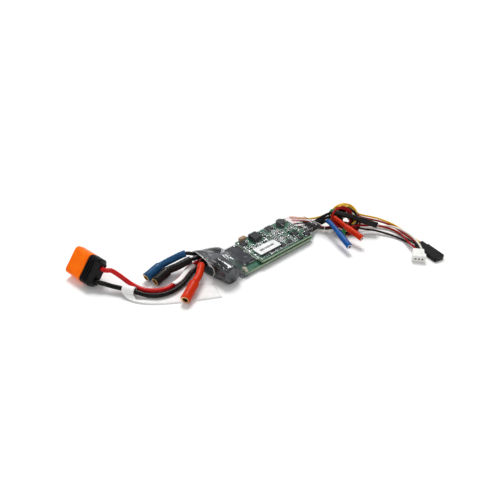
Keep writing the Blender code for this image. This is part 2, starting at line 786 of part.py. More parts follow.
def make_plugs(paint):
    long, wide, _ = DATA_PLUG["size"]
    half, key, keyed = wide / 2, 0.7, 3.2  # its sides step in behind two keys of this length
    outline = [
        (0, half),
        (-keyed, half),
        (-keyed, half - key),
        (-long, half - key),
        (-long, -half + key),
        (-keyed, -half + key),
        (-keyed, -half),
        (0, -half),
    ]
    housing("data_plug", DATA_PLUG, outline, paint["white_plastic"])
    long, wide, _ = SERVO_PLUG["size"]
    half, corner = wide / 2, 0.8
    behind = SERVO_PLUG["entry"][0]
    outline = [
        (0, half - corner),
        (-corner, half),
        (-long, half),
        (-long, half - corner),
        (-behind, half - corner),
        (-behind, -half + corner),
        (-long, -half + corner),
        (-long, -half),
        (-corner, -half),
        (0, -half + corner),
    ]
    housing("servo_plug", SERVO_PLUG, outline, paint["black_plastic"])


# ---------------------------------------------------------------- the whole object


def make_paint():
    return {
        "board": plain("board", (0.01, 0.12, 0.05), 0.35),
        "chip": plain("chip", (0.02, 0.02, 0.022), 0.45),
        "ferrite": plain("ferrite", (0.035, 0.035, 0.04), 0.5),
        "ceramic": plain("ceramic", (0.35, 0.22, 0.12), 0.4),
        "black_plastic": plain("black_plastic", (0.015, 0.015, 0.016), 0.45),
        "white_plastic": plain("white_plastic", (0.8, 0.8, 0.77), 0.4),
        "orange_plastic": plain("orange_plastic", (0.9, 0.13, 0.01), 0.4),
        "heat_spreader": plain("heat_spreader", (0.06, 0.065, 0.075), 0.55),
        "label": plain("label", (0.85, 0.85, 0.83), 0.6),
        "capacitor": plain("capacitor", (0.12, 0.12, 0.125), 0.25),
        "sleeve": plain("sleeve", (0.8, 0.82, 0.85), 0.15, alpha=0.25),
        "gold": plain("gold", (0.8, 0.5, 0.15), 0.3, metallic=1.0),
        "red_silicone": plain("red_silicone", (0.5, 0.008, 0.008), 0.4),
        "black_silicone": plain("black_silicone", (0.02, 0.02, 0.02), 0.4),
        "blue_shrink": plain("blue_shrink", (0.01, 0.1, 0.25), 0.35),
        "black_shrink": plain("black_shrink", (0.025, 0.022, 0.02), 0.4),
        "red_shrink": plain("red_shrink", (0.6, 0.03, 0.01), 0.35),
        "red_wire": plain("red_wire", (0.35, 0.01, 0.01), 0.45),
        "black_wire": plain("black_wire", (0.025, 0.02, 0.02), 0.45),
        "yellow_wire": plain("yellow_wire", (0.8, 0.5, 0.08), 0.45),
        "white_wire": plain("white_wire", (0.75, 0.75, 0.72), 0.45),
    }


def build():
    clear_scene()
    paint = make_paint()
    make_boards(paint)
    make_components(paint)
    make_capacitors(paint)
    make_sleeve(paint)
    make_connector(paint)
    make_battery_leads(paint)
    make_tag(paint)
    for name, shrink, bullet, wire_route, shrink_route in MOTOR_LEADS:
        make_motor_lead(name, shrink, bullet, wire_route, shrink_route, paint)
    make_signal_leads(paint)
    make_plugs(paint)


build()
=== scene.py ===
"""Looks of the twin-motor speed controller: fine pieces, materials, floor, lights and camera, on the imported
frame. Lengths are in millimetres in the object's own frame and are turned into metres by MM. A route is
the list of points that a lead's centreline passes through.
"""

import math
import random

import bmesh
import bpy
from mathutils import Matrix, Vector, kdtree, noise


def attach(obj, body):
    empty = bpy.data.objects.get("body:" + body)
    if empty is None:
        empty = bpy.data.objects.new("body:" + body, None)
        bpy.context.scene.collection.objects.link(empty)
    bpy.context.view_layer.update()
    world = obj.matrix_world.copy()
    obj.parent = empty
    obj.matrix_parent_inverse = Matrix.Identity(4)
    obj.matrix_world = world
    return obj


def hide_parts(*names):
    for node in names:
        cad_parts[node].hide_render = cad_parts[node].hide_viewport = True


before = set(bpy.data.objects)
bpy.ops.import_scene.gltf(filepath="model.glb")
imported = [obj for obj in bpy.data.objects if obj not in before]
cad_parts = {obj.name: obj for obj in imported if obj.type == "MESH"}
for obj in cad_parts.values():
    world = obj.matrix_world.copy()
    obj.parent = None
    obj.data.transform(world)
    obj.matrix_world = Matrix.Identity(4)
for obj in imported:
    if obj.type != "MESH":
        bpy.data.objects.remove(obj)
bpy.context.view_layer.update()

MM = 0.001
WAY_UP = Vector((0, 0, 1))
FILM_ROUGHNESS = 0.14
PAINTED_SHADE_UNTIL, CLEAR_FROM = -28.5, -21.5  # the film's dark tint, which is painted shade, fades out between these x

# ---------------------------------------------------------------- materials


def new_material(name):
    """A material, its nodes, a function that links two of their sockets, and its shader."""
    made = bpy.data.materials.new(name)
    made.use_nodes = True
    nodes = made.node_tree.nodes
    return made, nodes, made.node_tree.links.new, nodes["Principled BSDF"]


def noise_node(nodes, link, scale, detail=3.0, stretch=(1, 1, 1)):
    """Noise in the object's own space. Scale is in cells per metre."""
    place = nodes.new("ShaderNodeTexCoord")
    mapping = nodes.new("ShaderNodeMapping")
    mapping.inputs["Scale"].default_value = stretch
    texture = nodes.new("ShaderNodeTexNoise")
    texture.inputs["Scale"].default_value = scale
    texture.inputs["Detail"].default_value = detail
    link(place.outputs["Object"], mapping.inputs["Vector"])
    link(mapping.outputs["Vector"], texture.inputs["Vector"])
    return texture.outputs["Fac"]


def mapped(nodes, link, value, low, high, start=0.3, end=0.7):
    """A value between low and high as the socket's value goes from start to end."""
    node = nodes.new("ShaderNodeMapRange")
    node.inputs["From Min"].default_value = start
    node.inputs["From Max"].default_value = end
    node.inputs["To Min"].default_value = low
    node.inputs["To Max"].default_value = high
    link(value, node.inputs["Value"])
    return node.outputs["Result"]


def two_tone(nodes, link, factor, first, second):
    """A colour between two colours, by a factor socket."""
    mix = nodes.new("ShaderNodeMix")
    mix.data_type = "RGBA"
    mix.inputs["A"].default_value = (*first, 1)
    mix.inputs["B"].default_value = (*second, 1)
    link(factor, mix.inputs["Factor"])
    return mix.outputs["Result"]


def blended(nodes, link, factor, first, second, kind="FLOAT"):
    """A value, or with RGBA a colour, between two sockets, by a factor socket."""
    mix = nodes.new("ShaderNodeMix")
    mix.data_type = kind
    link(factor, mix.inputs["Factor"])
    link(first, mix.inputs["A"])
    link(second, mix.inputs["B"])
    return mix.outputs["Result"]


def mixed(nodes, link, factor, first, second):
    """A shader between two shaders, by a factor socket."""
    mix = nodes.new("ShaderNodeMixShader")
    link(factor, mix.inputs["Fac"])
    link(first, mix.inputs[1])
    link(second, mix.inputs[2])
    return mix.outputs["Shader"]


def bumped(nodes, link, shader, height, depth):
    """Bumps of this depth in millimetres."""
    bump = nodes.new("ShaderNodeBump")
    bump.inputs["Distance"].default_value = depth * MM
    bump.inputs["Strength"].default_value = 1.0
    link(height, bump.inputs["Height"])
    link(bump.outputs["Normal"], shader.inputs["Normal"])


def moulded(name, colour, tone, roughness, grain=1500, depth=0.01, metallic=0.0, sheen=0.12):
    """A surface mottled between two tones, with a fine grain and an uneven gloss."""
    made, nodes, link, shader = new_material(name)
    coarse = noise_node(nodes, link, 260)
    link(two_tone(nodes, link, mapped(nodes, link, coarse, 0, 1), colour, tone), shader.inputs["Base Color"])
    fine = noise_node(nodes, link, grain, 5.0)
    gloss = mapped(nodes, link, fine, roughness * 0.8, roughness * 1.25)
    link(gloss, shader.inputs["Roughness"])
    bumped(nodes, link, shader, fine, depth)
    shader.inputs["Metallic"].default_value = metallic
    shader.inputs["Specular IOR Level"].default_value = sheen
    return made


def board_material():
    """Green solder mask with lighter copper traces under it, tinned pads, and pale laminate at the edges."""
    made, nodes, link, shader = new_material("solder_mask")
    place = nodes.new("ShaderNodeTexCoord")
    cells = nodes.new("ShaderNodeTexVoronoi")
    cells.distance = "CHEBYCHEV"
    cells.feature = "F1"
    cells.inputs["Scale"].default_value = 520
    link(place.outputs["Object"], cells.inputs["Vector"])
    trace = mapped(nodes, link, cells.outputs["Distance"], 0, 1, 0.30, 0.34)
    mask = two_tone(nodes, link, trace, (0.002, 0.060, 0.030), (0.006, 0.120, 0.058))
    shape = nodes.new("ShaderNodeNewGeometry")
    parts = nodes.new("ShaderNodeSeparateXYZ")
    link(shape.outputs["Normal"], parts.inputs["Vector"])
    side = nodes.new("ShaderNodeMath")
    side.operation = "ABSOLUTE"
    link(parts.outputs["Z"], side.inputs[0])
    flat = mapped(nodes, link, side.outputs["Value"], 0, 1, 0.4, 0.6)
    weave = mapped(nodes, link, noise_node(nodes, link, 2600, 2.0, (0.15, 0.15, 1)), 0, 1)
    laminate = two_tone(nodes, link, weave, (0.24, 0.38, 0.20), (0.42, 0.52, 0.32))
    link(blended(nodes, link, flat, laminate, mask, "RGBA"), shader.inputs["Base Color"])
    bumped(nodes, link, shader, trace, 0.02)
    shader.inputs["Roughness"].default_value = 0.4
    shader.inputs["Specular IOR Level"].default_value = 0.2
    return made


def film_gloss(nodes, link, painted_shade_left, body):
    """The film's wavy highlights over its body. They are stronger over the capacitors."""
    bump = nodes.new("ShaderNodeBump")
    bump.inputs["Distance"].default_value = 0.5 * MM
    link(noise_node(nodes, link, 300, 1.0, (0.8, 0.35, 0.6)), bump.inputs["Height"])
    shine = nodes.new("ShaderNodeBsdfGlossy")
    shine.inputs["Roughness"].default_value = FILM_ROUGHNESS
    link(bump.outputs["Normal"], shine.inputs["Normal"])
    tilt = nodes.new("ShaderNodeLayerWeight")
    link(bump.outputs["Normal"], tilt.inputs["Normal"])
    over_boards = mapped(nodes, link, tilt.outputs["Facing"], 0.022, 0.20, 0.45, 1.0)
    over_capacitors = mapped(nodes, link, tilt.outputs["Facing"], 0.07, 0.42, 0.45, 1.0)
    weight = blended(nodes, link, painted_shade_left, over_boards, over_capacitors)
    return mixed(nodes, link, weight, body, shine.outputs["BSDF"])


def film_material():
    """Clear shrink film. It is clear over the boards. Over the capacitors it is tinted dark, as painted shade
    of the shaded inside, and has milky creases that are partly the film's haze and partly painted highlight.
    """
    made, nodes, link, shader = new_material("clear_film")
    place = nodes.new("ShaderNodeTexCoord")
    parts = nodes.new("ShaderNodeSeparateXYZ")
    link(place.outputs["Object"], parts.inputs["Vector"])
    painted_shade_left = mapped(nodes, link, parts.outputs["X"], 1, 0, PAINTED_SHADE_UNTIL * MM, CLEAR_FROM * MM)
    clear = nodes.new("ShaderNodeBsdfTransparent")
    # Over the capacitors the see-through colour darkens to grey: painted shade of the shade inside the
    # sleeve.
    link(two_tone(nodes, link, painted_shade_left, (0.97, 0.975, 0.98), (0.40, 0.41, 0.43)), clear.inputs["Color"])
    # Grey of the layer mixed in along the creases: partly the film's haze, partly painted highlight.
    shader.inputs["Base Color"].default_value = (0.36, 0.38, 0.41, 1)
    shader.inputs["Roughness"].default_value = FILM_ROUGHNESS
    shader.inputs["Specular IOR Level"].default_value = 0.9
    crease = noise_node(nodes, link, 210, 3.0, (1.0, 0.35, 0.6))
    bumped(nodes, link, shader, crease, 0.6)
    # Along the creases a grey layer is mixed in. It is partly the film's real haze and partly painted
    # highlight of the creases.
    milky_painted_highlight = mapped(nodes, link, crease, 0.0, 0.26, 0.42, 0.70)
    thin_painted_highlight = mapped(nodes, link, crease, 0.0, 0.12, 0.42, 0.72)
    haze_and_painted_highlight = blended(nodes, link, painted_shade_left, thin_painted_highlight, milky_painted_highlight)
    body = mixed(nodes, link, haze_and_painted_highlight, clear.outputs["BSDF"], shader.outputs["BSDF"])
    link(film_gloss(nodes, link, painted_shade_left, body), nodes["Material Output"].inputs["Surface"])
    return made


def pink_film_material():
    """The end of the film that is tinted by the wires pressed against it."""
    made, nodes, link, shader = new_material("tinted_film")
    clear = nodes.new("ShaderNodeBsdfTransparent")
    shader.inputs["Base Color"].default_value = (0.66, 0.36, 0.36, 1)
    shader.inputs["Roughness"].default_value = 0.3
    patch = mapped(nodes, link, noise_node(nodes, link, 150, 2.0), 0.25, 0.6)
    film = mixed(nodes, link, patch, clear.outputs["BSDF"], shader.outputs["BSDF"])
    link(film, nodes["Material Output"].inputs["Surface"])
    return made


PAINT = {
    "board": board_material(),
    "film": film_material(),
    "pink_film": pink_film_material(),
    "chip": moulded("chip_resin", (0.003, 0.003, 0.004), (0.010, 0.010, 0.012), 0.35),
    "ferrite": moulded("ferrite", (0.010, 0.010, 0.012), (0.030, 0.030, 0.034), 0.5, depth=0.03),
    "ceramic": moulded("tan_ceramic", (0.26, 0.15, 0.07), (0.42, 0.28, 0.15), 0.4),
    "grey_part": moulded("grey_part", (0.10, 0.11, 0.11), (0.24, 0.25, 0.25), 0.4, sheen=0.4),
    "heat_spreader": moulded(
        "heat_spreader", (0.016, 0.018, 0.024), (0.034, 0.037, 0.046), 0.5, depth=0.02
    ),
    "black_plastic": moulded(
        "black_plastic", (0.002, 0.002, 0.003), (0.006, 0.006, 0.007), 0.32, sheen=0.14
    ),
    "white_plastic": moulded("white_plastic", (0.74, 0.74, 0.72), (0.84, 0.84, 0.82), 0.38),
    "orange_plastic": moulded("orange_plastic", (0.98, 0.13, 0.0), (1.0, 0.19, 0.0), 0.36, sheen=0.08),
    "paper": moulded("white_paper", (0.80, 0.80, 0.79), (0.88, 0.88, 0.87), 0.6, grain=3000),
    "ink": moulded("grey_ink", (0.02, 0.02, 0.02), (0.05, 0.05, 0.05), 0.6),
    "capacitor": moulded("capacitor_wrap", (0.010, 0.010, 0.011), (0.030, 0.030, 0.032), 0.2, sheen=0.6),
    # The rear capacitor's wrap is painted light grey: a painted reflection of light off its barrel.
    "painted_reflection_wrap": moulded("painted_reflection_wrap", (0.42, 0.43, 0.45), (0.66, 0.67, 0.68), 0.25, sheen=0.5),
    "can_end": moulded("can_end", (0.12, 0.125, 0.13), (0.22, 0.225, 0.23), 0.3, metallic=0.7),
    "gold": moulded("gold_plate", (0.78, 0.50, 0.16), (0.90, 0.62, 0.26), 0.28, metallic=1.0),
    "silver": moulded("tinned_metal", (0.76, 0.77, 0.78), (0.90, 0.90, 0.90), 0.3, metallic=1.0),
    "solder": moulded("flux_on_solder", (0.62, 0.60, 0.36), (0.84, 0.80, 0.60), 0.3, sheen=0.5),
    # Near-black boxes put where holes and grooves would be: painted shade.
    "painted_shade": moulded("painted_shade_black", (0.004, 0.004, 0.004), (0.010, 0.010, 0.010), 0.7),
    "red_silicone": moulded("red_silicone", (0.44, 0.002, 0.003), (0.60, 0.008, 0.007), 0.25, sheen=0.2),
    "black_silicone": moulded(
        "black_silicone", (0.002, 0.002, 0.002), (0.006, 0.005, 0.005), 0.25, sheen=0.15
    ),
    "blue_shrink": moulded("blue_shrink", (0.005, 0.045, 0.13), (0.012, 0.085, 0.20), 0.3, sheen=0.2),
    "blue_shrink_2": moulded(
        "bright_blue_shrink", (0.001, 0.055, 0.24), (0.003, 0.095, 0.34), 0.3, sheen=0.15
    ),
    "black_shrink": moulded("black_shrink", (0.004, 0.0035, 0.003), (0.014, 0.012, 0.010), 0.3, sheen=0.18),
    "red_shrink": moulded("red_shrink", (0.50, 0.016, 0.001), (0.64, 0.036, 0.002), 0.3, sheen=0.12),
    "red_wire": moulded("red_insulation", (0.22, 0.002, 0.003), (0.36, 0.006, 0.005), 0.35),
    "black_wire": moulded("black_insulation", (0.010, 0.004, 0.004), (0.022, 0.011, 0.010), 0.4),
    "yellow_wire": moulded("yellow_insulation", (0.72, 0.40, 0.02), (0.86, 0.56, 0.07), 0.42),
    "white_wire": moulded("white_insulation", (0.72, 0.69, 0.62), (0.84, 0.81, 0.75), 0.42),
    "green_tie": moulded("green_tie", (0.02, 0.16, 0.04), (0.06, 0.28, 0.09), 0.45),
}

NODE_PAINT = {
    "board": ["lower_board", "upper_board"],
    "black_plastic": ["front_header", "rear_header"],
    "chip": ["front_mosfet_bank", "rear_mosfet_bank", "controller_chip", "front_driver_chip"]
    + ["rear_driver_chip", "regulator_chip", "sense_chip"],
    "ferrite": ["square_inductor", "round_inductor"],
    "ceramic": ["ceramic_capacitor"],
    "heat_spreader": ["heat_spreader"],
    "capacitor": ["front_capacitor"],
    # The rear capacitor gets the light-grey wrap that carries the painted reflection.
    "painted_reflection_wrap": ["rear_capacitor"],
    "gold": ["positive_contact", "negative_contact"],
    "orange_plastic": ["connector_front_shell"],
    "white_plastic": ["data_plug"],
}

# ---------------------------------------------------------------- building pieces


def paint_node(name, key):
    """Gives a carried-over CAD node a finer material."""
    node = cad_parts[name]
    node.data.materials.clear()
    node.data.materials.append(PAINT[key])


def soften(node, width):
    """Rounds a node's sharp edges with a bevel of this width."""
    bevel = node.modifiers.new("edges", "BEVEL")
    bevel.width = width * MM
    bevel.segments = 2
    bevel.limit_method = "ANGLE"
    bevel.angle_limit = math.radians(40)


def add_piece(name, data, *materials):
    """Links a new piece to the scene and makes it ride with the object."""
    made = bpy.data.objects.new(name, data)
    for material in materials:
        made.data.materials.append(material)
    bpy.context.scene.collection.objects.link(made)
    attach(made, "root")
    return made


def mesh_piece(name, form, *materials, sharp=35):
    """A new piece from a bmesh in metres."""
    bmesh.ops.recalc_face_normals(form, faces=form.faces)
    mesh = bpy.data.meshes.new(name)
    form.to_mesh(mesh)
    form.free()
    mesh.shade_smooth()
    mesh.set_sharp_from_angle(angle=math.radians(sharp))
    return add_piece(name, mesh, *materials)


def add_box(form, centre, size, turn=0.0, material=0, chamfer=0.12):
    """Adds a box that stands on its base's centre, turned about Z by degrees. Chamfer is a share of its
    shortest side."""
    wide, deep, high = size
    made = bmesh.ops.create_cube(form, size=1.0)["verts"]
    place = Matrix.Translation(Vector(centre) * MM) @ Matrix.Rotation(math.radians(turn), 4, "Z")
    shape = Matrix.Diagonal((wide * MM, deep * MM, high * MM, 1))
    lift = Matrix.Translation((0, 0, high / 2 * MM))
    bmesh.ops.transform(form, matrix=place @ lift @ shape, verts=made)
    faces = list({face for vert in made for face in vert.link_faces})
    for face in faces:
        face.material_index = material
    if chamfer:
        edges = list({edge for vert in made for edge in vert.link_edges})
        bmesh.ops.bevel(
            form, geom=edges, offset=chamfer * min(size) * MM, segments=1, affect="EDGES", profile=0.5
        )


def join_rings(form, rings):
    """Adds the faces between each ring of vertices and the next, and returns them."""
    faces = []
    for ring, following in zip(rings, rings[1:]):
        for i in range(len(ring)):
            j = (i + 1) % len(ring)
            faces.append(form.faces.new((ring[i], ring[j], following[j], following[i])))
    return faces


def smooth_line(route, spacing):
    """Points about this far apart on a smooth curve through the route's points."""
    points = [Vector(p) for p in route]
    spans = [(b - a).length for a, b in zip(points, points[1:])]
    slopes = [(points[1] - points[0]) / spans[0]]
    for i in range(1, len(points) - 1):
        slopes.append((points[i + 1] - points[i - 1]) / (spans[i - 1] + spans[i]))
    slopes.append((points[-1] - points[-2]) / spans[-1])
    fine = []
    steps = 12
    for i, span in enumerate(spans):
        for step in range(steps):
            t = step / steps
            near = points[i] * (1 + 2 * t) * (1 - t) ** 2 + slopes[i] * span * t * (1 - t) ** 2
            far = points[i + 1] * t * t * (3 - 2 * t) + slopes[i + 1] * span * t * t * (t - 1)
            fine.append(near + far)
    fine.append(points[-1])
    lengths = [(b - a).length for a, b in zip(fine, fine[1:])]
    count = max(2, round(sum(lengths) / spacing))
    line, passed, i = [fine[0]], 0.0, 0
    for k in range(1, count):
        wanted = sum(lengths) * k / count
        while passed + lengths[i] < wanted:
            passed += lengths[i]
            i += 1
        line.append(fine[i].lerp(fine[i + 1], (wanted - passed) / lengths[i]))
    line.append(fine[-1])
    return line


def tube_curve(name, line, diameter, material, cyclic=False):
    """A round tube through these points."""
    curve = bpy.data.curves.new(name, "CURVE")
    curve.dimensions = "3D"
    curve.bevel_depth = diameter / 2 * MM
    curve.bevel_resolution = 5
    curve.use_fill_caps = not cyclic
    spline = curve.splines.new("POLY")
    spline.points.add(len(line) - 1)
    spline.use_cyclic_u = cyclic
    spline.use_smooth = True
    for point, place in zip(spline.points, line):
        point.co = (*(Vector(place) * MM), 1.0)
    return add_piece(name, curve, material)


def lead(name, line, diameter, material, stands_for):
    """A free lead along a line of points, which stands for its CAD nodes and hides them."""
    made = tube_curve(name, line, diameter, PAINT[material])
    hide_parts(*stands_for)
    return made


def between(start, end, distance):
    """The point this far from start on the way to end."""
    return start + (end - start).normalized() * distance


# ---------------------------------------------------------------- camera, floor and light

FLOOR = 3.0  # metres from its middle to each side
SUN_FROM = (0.36, 0.42, 0.86)


def aim(thing, direction):
    """Turns a camera or a light to look this way."""
    thing.rotation_euler = Vector(direction).to_track_quat("-Z", "Y").to_euler()
    bpy.context.scene.collection.objects.link(thing)


def make_camera():
    camera = bpy.data.objects.new("camera", bpy.data.cameras.new("camera"))
    camera.data.lens = 40
    camera.data.sensor_width = 36
    camera.data.clip_start = 0.01
    camera.location = (-0.1904, -0.2050, 0.1995)
    aim(camera, (0.539, 0.610, -0.581))
    bpy.context.scene.camera = camera


def make_floor():
    mesh = bpy.data.meshes.new("floor")
    corners = [(-FLOOR, -FLOOR, 0), (FLOOR, -FLOOR, 0), (FLOOR, FLOOR, 0), (-FLOOR, FLOOR, 0)]
    mesh.from_pydata(corners, [], [(0, 1, 2, 3)])
    made, nodes, link, shader = new_material("white_floor")
    speckle = mapped(nodes, link, noise_node(nodes, link, 30, 2.0), 0, 1)
    paper = two_tone(nodes, link, speckle, (0.93, 0.93, 0.93), (0.95, 0.95, 0.95))
    link(paper, shader.inputs["Base Color"])
    shader.inputs["Roughness"].default_value = 0.7
    mesh.materials.append(made)
    floor = bpy.data.objects.new("floor", mesh)
    bpy.context.scene.collection.objects.link(floor)


def make_lights():
    """A white room, a broad sun for the soft shadows, and two panels that soften the near and far sides."""
    world = bpy.data.worlds.new("studio")
    world.use_nodes = True
    background = world.node_tree.nodes["Background"]
    background.inputs["Color"].default_value = (1, 1, 1, 1)
    background.inputs["Strength"].default_value = 0.44
    bpy.context.scene.world = world
    for name, place, size, power in (
        ("fill", (-0.7, -0.6, 0.6), 0.7, 2.0),
        ("rim", (-0.3, 0.9, 0.5), 0.6, 1.6),
    ):
        light = bpy.data.lights.new(name, "AREA")
        light.size = size
        light.energy = power
        lamp = bpy.data.objects.new(name, light)
        lamp.location = place
        aim(lamp, -Vector(place))
    sun = bpy.data.lights.new("key", "SUN")
    sun.energy = 2.3
    sun.angle = math.radians(26)
    aim(bpy.data.objects.new("key", sun), -Vector(SUN_FROM))


def make_stage():
    make_camera()
    make_floor()
    make_lights()
    bpy.context.scene.view_settings.view_transform = "Standard"


# ---------------------------------------------------------------- battery lead and connector

BATTERY_WIRE = 2.7
CONNECTOR = (16.8, 8.6, 2.6)  # width, thickness, corner radius
FRONT_SHELL_LONG, REAR_SHELL_LONG = 12.8, 8.8
CONTACT_APART = 7.4
CONNECTOR_JOINT = (-92.9, 42.6, 8.1)
CONNECTOR_YAW, CONNECTOR_ROLL = 98.5, -47.5

RED_LEAD_REST = [
    (-86.2, 30.2, 10.6), (-83.4, 25.3, 7.9), (-80.8, 20.4, 4.5), (-78.4, 15.6, 2.7),
    (-75.4, 11.0, 2.0), (-71.6, 7.6, 2.0), (-67.0, 5.4, 2.0), (-61.2, 5.8, 2.0),
    (-55.3, 8.0, 1.9), (-50.8, 10.4, 1.8), (-45.6, 12.9, 2.0), (-40.5, 13.0, 2.4),
    (-34.0, 12.6, 2.6), (-27.5, 11.8, 2.6),
]
BLACK_LEAD_REST = [
    (-91.6, 29.2, 4.4), (-89.8, 26.0, 4.0), (-87.3, 22.0, 3.8), (-84.6, 18.2, 3.5),
    (-81.4, 13.6, 2.7), (-78.2, 8.2, 2.1), (-74.0, 4.0, 2.0), (-68.8, 1.8, 2.0),
    (-63.6, 1.4, 2.0), (-57.8, 2.6, 1.9), (-52.4, 5.0, 1.8), (-47.4, 7.6, 1.8),
    (-41.0, 9.2, 2.0), (-34.0, 9.3, 2.1), (-27.5, 8.6, 2.2),
]


def connector_frame():
    """The connector's own frame: +X out of its mouth, Y across its width, the origin between its shells."""
    turn = Matrix.Rotation(math.radians(CONNECTOR_YAW), 4, "Z")
    roll = Matrix.Rotation(math.radians(CONNECTOR_ROLL), 4, "X")
    return Matrix.Translation(Vector(CONNECTOR_JOINT) * MM) @ turn @ roll


def on_connector(x, y, z=0.0):
    """A point of the connector's frame, in the object's frame, in millimetres."""
    return connector_frame() @ (Vector((x, y, z)) * MM) / MM


def rounded_outline(wide, thick, radius, steps=6):
    """A rectangle with round corners, as a list of points round its middle."""
    points = []
    for corner, (sx, sy) in enumerate(((1, 1), (-1, 1), (-1, -1), (1, -1))):
        for step in range(steps + 1):
            angle = math.radians(90) * (corner + step / steps)
            x = sx * (wide / 2 - radius) + radius * math.cos(angle)
            y = sy * (thick / 2 - radius) + radius * math.sin(angle)
            points.append((x, y))
    return points


def make_rear_shell():
    """The black shell: ribs all round its section, and shoulders that slope in towards the leads."""
    stations = [(0.0, 0.35), (-0.3, 0.0), (-1.1, 0.0)]
    pitch = 1.7
    for rib in range(3):
        start = -1.1 - rib * pitch
        stations += [(start - 0.1, 0.7), (start - 0.75, 0.7), (start - 0.85, 0.05), (start - pitch, 0.05)]
    stations += [(-6.9, 0.9), (-8.0, 1.5), (-8.8, 2.0)]
    form = bmesh.new()
    rings = []
    place = connector_frame()
    wide, thick, radius = CONNECTOR
    for x, inset in stations:
        outline = rounded_outline(wide - 2 * inset, thick - 2 * inset, max(0.6, radius - inset))
        rings.append([form.verts.new(place @ (Vector((x, y, z)) * MM)) for y, z in outline])
    join_rings(form, rings)
    form.faces.new(rings[0])
    form.faces.new(rings[-1])
    made = mesh_piece("rear_shell", form, PAINT["black_plastic"], sharp=28)
    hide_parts("connector_rear_shell")
    return made


def make_battery_leads():
    soften(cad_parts["connector_front_shell"], 0.35)
    rear = make_rear_shell()
    front = "connector_front_shell"
    for name, side, rest, colour, pieces in (
        ("battery_lead_red", -1, RED_LEAD_REST, "red_silicone", [front, "positive_contact"]),
        ("battery_lead_black", 1, BLACK_LEAD_REST, "black_silicone", [rear, "negative_contact"]),
    ):
        y = side * CONTACT_APART / 2
        start = on_connector(-REAR_SHELL_LONG + 1.5, y)
        straight = on_connector(-REAR_SHELL_LONG - BATTERY_WIRE, y)
        line = smooth_line([start, straight, *rest][::-1], 0.7 * BATTERY_WIRE)
        lead(name + "_wire", line, BATTERY_WIRE, colour, [name])


# ---------------------------------------------------------------- motor leads

WIDE_BULLET = {"outside": 2.9, "neck": 2.1, "socket": 2.3, "wire": 2.3}
SLIM_BULLET = {"outside": 1.95, "neck": 1.5, "socket": 1.4, "wire": 1.8}
STEP_LONG = 1.5  # from a sleeve's neck to its full width
METAL_SHOWS = 0.6  # how far the sleeve stops short of the socket's tip
MOTOR_LEADS = (
    (
        "motor_1_blue",
        "blue",
        WIDE_BULLET,
        [(-25.8, 10.2, 6.6), (-32.0, 12.2, 7.4), (-38.0, 12.9, 8.6), (-41.4, 13.6, 9.4)],
        [(-44.7, 16.2, 10.0), (-53.4, 18.9, 8.0), (-59.4, 20.9, 5.8), (-71.3, 19.4, 3.3)],
    ),
    (
        "motor_1_black",
        "black",
        WIDE_BULLET,
        [(-25.8, 7.8, 7.9), (-33.0, 9.6, 8.0), (-38.6, 10.4, 7.8)],
        [(-44.4, 12.0, 7.6), (-53.0, 13.4, 6.2), (-58.2, 14.9, 5.2), (-69.3, 13.3, 3.1)],
    ),
    (
        "motor_1_red",
        "red",
        WIDE_BULLET,
        [(-25.8, 8.4, 5.2), (-32.0, 9.4, 5.3), (-38.2, 9.2, 5.6), (-40.9, 7.2, 6.6)],
        [(-42.8, 4.4, 7.2), (-48.7, -1.4, 6.6), (-53.6, -4.2, 5.8), (-65.9, -11.0, 3.4)],
    ),
    (
        "motor_2_black",
        "black",
        SLIM_BULLET,
        [(31.6, -3.4, 4.6), (36.6, -3.8, 4.9), (40.9, -4.8, 5.0), (46.4, -8.6, 9.4)],
        [(50.6, -12.4, 12.0), (54.8, -18.2, 11.4), (60.4, -25.2, 9.4), (67.8, -36.2, 6.2)],
    ),
    (
        "motor_2_red",
        "red",
        SLIM_BULLET,
        [(31.6, -6.6, 4.6), (36.6, -7.0, 4.9), (41.0, -7.4, 4.9), (45.4, -9.8, 8.2)],
        [(48.6, -13.6, 10.2), (49.0, -19.0, 9.6), (48.9, -25.0, 8.4), (48.7, -39.4, 6.2)],
    ),
    (
        "motor_2_blue",
        "blue",
        SLIM_BULLET,
        [(31.6, -9.6, 4.4), (36.2, -9.2, 3.4), (40.8, -7.8, 2.4), (43.8, -9.6, 5.4)],
        [(45.2, -13.0, 8.2), (44.0, -18.6, 8.0), (42.0, -25.2, 7.0), (37.4, -38.9, 5.0)],
    ),
)


def swept_skin(name, stations, material, sides=28):
    """An open tube with a wall, through stations of (centre, outer radius, inner radius)."""
    centres = [Vector(centre) for centre, _, _ in stations]
    form = bmesh.new()
    outer, inner = [], []
    across = None
    for i, (_, outside, inside) in enumerate(stations):
        ahead = (centres[min(i + 1, len(centres) - 1)] - centres[max(i - 1, 0)]).normalized()
        across = ahead.orthogonal() if across is None else across - ahead * across.dot(ahead)
        across.normalize()
        upward = ahead.cross(across)
        for rings, radius in ((outer, outside), (inner, inside)):
            turns = [math.tau * k / sides for k in range(sides)]
            points = [centres[i] + (across * math.cos(a) + upward * math.sin(a)) * radius for a in turns]
            rings.append([form.verts.new(p * MM) for p in points])
    join_rings(form, [*outer, *inner[::-1], outer[0]])
    return mesh_piece(name, form, material, sharp=50)


